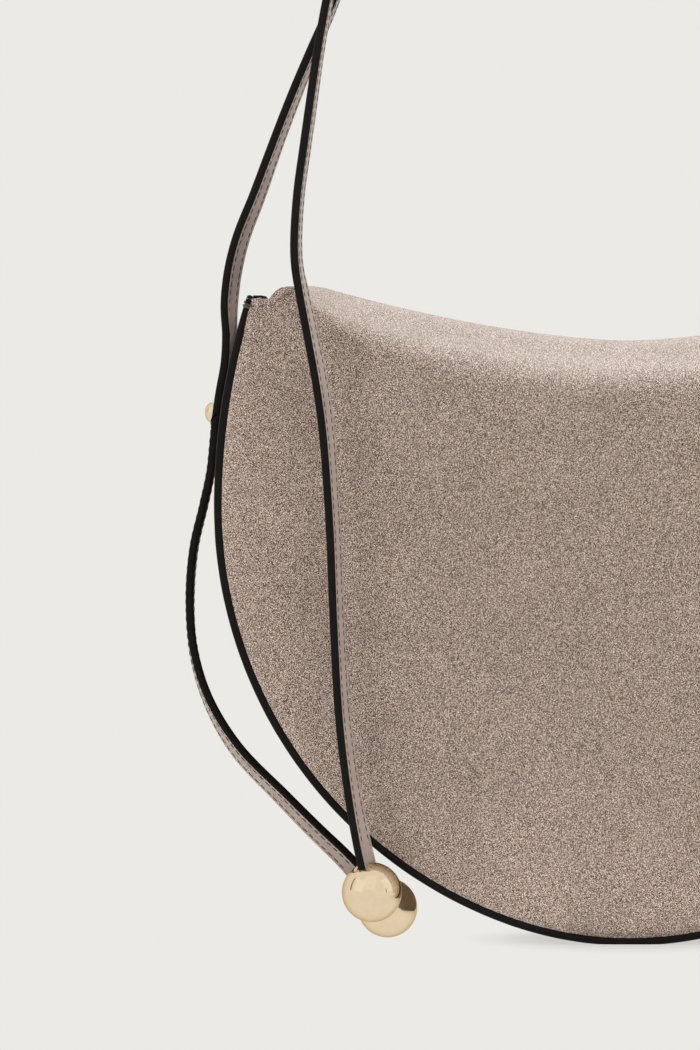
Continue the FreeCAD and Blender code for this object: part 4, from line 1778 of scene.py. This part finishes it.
# Dark strips beside the set that show only in the polished metal: name, lower end, upper end and width
flags = (
    ("left_flag", (-2.09, -0.06, 0.22), (-2.09, 0.14, 1.70), 0.20),
    ("right_flag", (1.75, -1.20, 0.10), (1.75, -1.20, 0.60), 0.14),
)
floor_reach = 60.0
room_light = (1.0, 0.985, 0.965, 1.0)
room_strength = 0.30
# Camera: width of its sensor in millimetres and how far it sees in metres
sensor_mm = 36.0
view_depth = 200.0


class HALFMOON_OT_stage(bpy.types.Operator):
    """Pale floor and background, soft light and the camera"""

    bl_idname = "halfmoon.stage"
    bl_label = "Stage"

    def execute(self, context):
        scene = context.scene
        scene.view_settings.view_transform = "Standard"
        r = floor_reach
        corners = [(-r, -r, 0.0), (r, -r, 0.0), (r, r, 0.0), (-r, r, 0.0)]
        mesh_object("floor", corners, [(0, 1, 2, 3)], ("floor_pale",))
        self.world(scene)
        for row in light_lamps:
            self.lamp(*row).visible_glossy = False
        for row in panel_lamps:
            self.lamp(*row).visible_diffuse = False
        for row in flags:
            self.flag(*row)
        self.camera(scene)
        return {"FINISHED"}

    def world(self, scene):
        world = bpy.data.worlds.new("soft_room")
        scene.world = world
        world.use_nodes = True
        tree = world.node_tree
        tree.nodes.clear()
        backdrop = (*finish().backdrop, 1.0)
        shown = add_node(tree, "ShaderNodeBackground", {"Color": backdrop, "Strength": 1.0})
        light = add_node(tree, "ShaderNodeBackground", {"Color": room_light, "Strength": room_strength})
        both = mixed(tree, seen(tree), light, shown)
        add_node(tree, "ShaderNodeOutputWorld", {"Surface": both.outputs[0]})

    def lamp(self, name, place, size, power, target):
        data = bpy.data.lights.new(name, "AREA")
        data.shape = "RECTANGLE"
        data.size = size[0]
        data.size_y = size[1]
        data.energy = power
        obj = new_object(name, data)
        obj.location = place
        obj.rotation_euler = (Vector(target) - Vector(place)).to_track_quat("-Z", "Y").to_euler()
        obj.visible_camera = False
        return obj

    def flag(self, name, low, high, width):
        half = Vector((0.0, width / 2, 0.0))
        corners = [Vector(low) - half, Vector(low) + half, Vector(high) + half, Vector(high) - half]
        obj = mesh_object(name, corners, [(0, 1, 2, 3)], ("black_cloth",))
        for ray in ("camera", "diffuse", "transmission", "volume_scatter", "shadow"):
            setattr(obj, "visible_" + ray, False)

    def camera(self, scene):
        s = scene.stage_settings
        data = bpy.data.cameras.new("camera")
        data.sensor_width = sensor_mm
        data.lens = data.sensor_width * s.distance / s.view_height
        data.clip_end = view_depth
        obj = new_object("camera", data)
        aim = Vector((s.view_x, front_low.y, s.view_z))
        back = Vector((0.0, -math.cos(s.elevation), math.sin(s.elevation)))
        obj.location = aim + back * s.distance
        obj.rotation_euler = (-back).to_track_quat("-Z", "Y").to_euler()
        scene.camera = obj


class HALFMOON_PT_panel(bpy.types.Panel):
    """Sidebar panel with the bag's pieces and sizes"""

    bl_idname = "HALFMOON_PT_panel"
    bl_label = "Half moon bag"
    bl_space_type = "VIEW_3D"
    bl_region_type = "UI"
    bl_category = "Half moon bag"

    def draw(self, context):
        for name in piece_operators:
            self.layout.operator("halfmoon." + name)
        for name, _ in groups:
            group = getattr(context.scene, name)
            box = self.layout.box()
            for key in group.bl_rna.properties.keys():
                if key not in ("rna_type", "name"):
                    box.prop(group, key)


piece_operators = (
    "front_suede", "back_panel", "gusset", "piping", "linings", "pocket", "straps", "balls", "studs",
    "stitches", "stage",
)
groups = (
    ("bag_sizes", BagSizes), ("strap_sizes", StrapSizes), ("stitch_sizes", StitchSizes),
    ("bag_finishes", Finishes), ("stage_settings", StageSettings),
)
classes = tuple(group for _, group in groups) + (
    HALFMOON_OT_front_suede, HALFMOON_OT_back_panel, HALFMOON_OT_gusset, HALFMOON_OT_piping,
    HALFMOON_OT_linings, HALFMOON_OT_pocket, HALFMOON_OT_straps, HALFMOON_OT_balls, HALFMOON_OT_studs,
    HALFMOON_OT_stitches, HALFMOON_OT_stage, HALFMOON_PT_panel,
)


def register():
    for made in classes:
        bpy.utils.register_class(made)
    for name, group in groups:
        setattr(bpy.types.Scene, name, PointerProperty(type=group))


def unregister():
    for name, _ in groups:
        delattr(bpy.types.Scene, name)
    for made in reversed(classes):
        bpy.utils.unregister_class(made)


def main():
    register()
    for name in piece_operators:
        getattr(bpy.ops.halfmoon, name)()


if __name__ == "__main__":
    main()
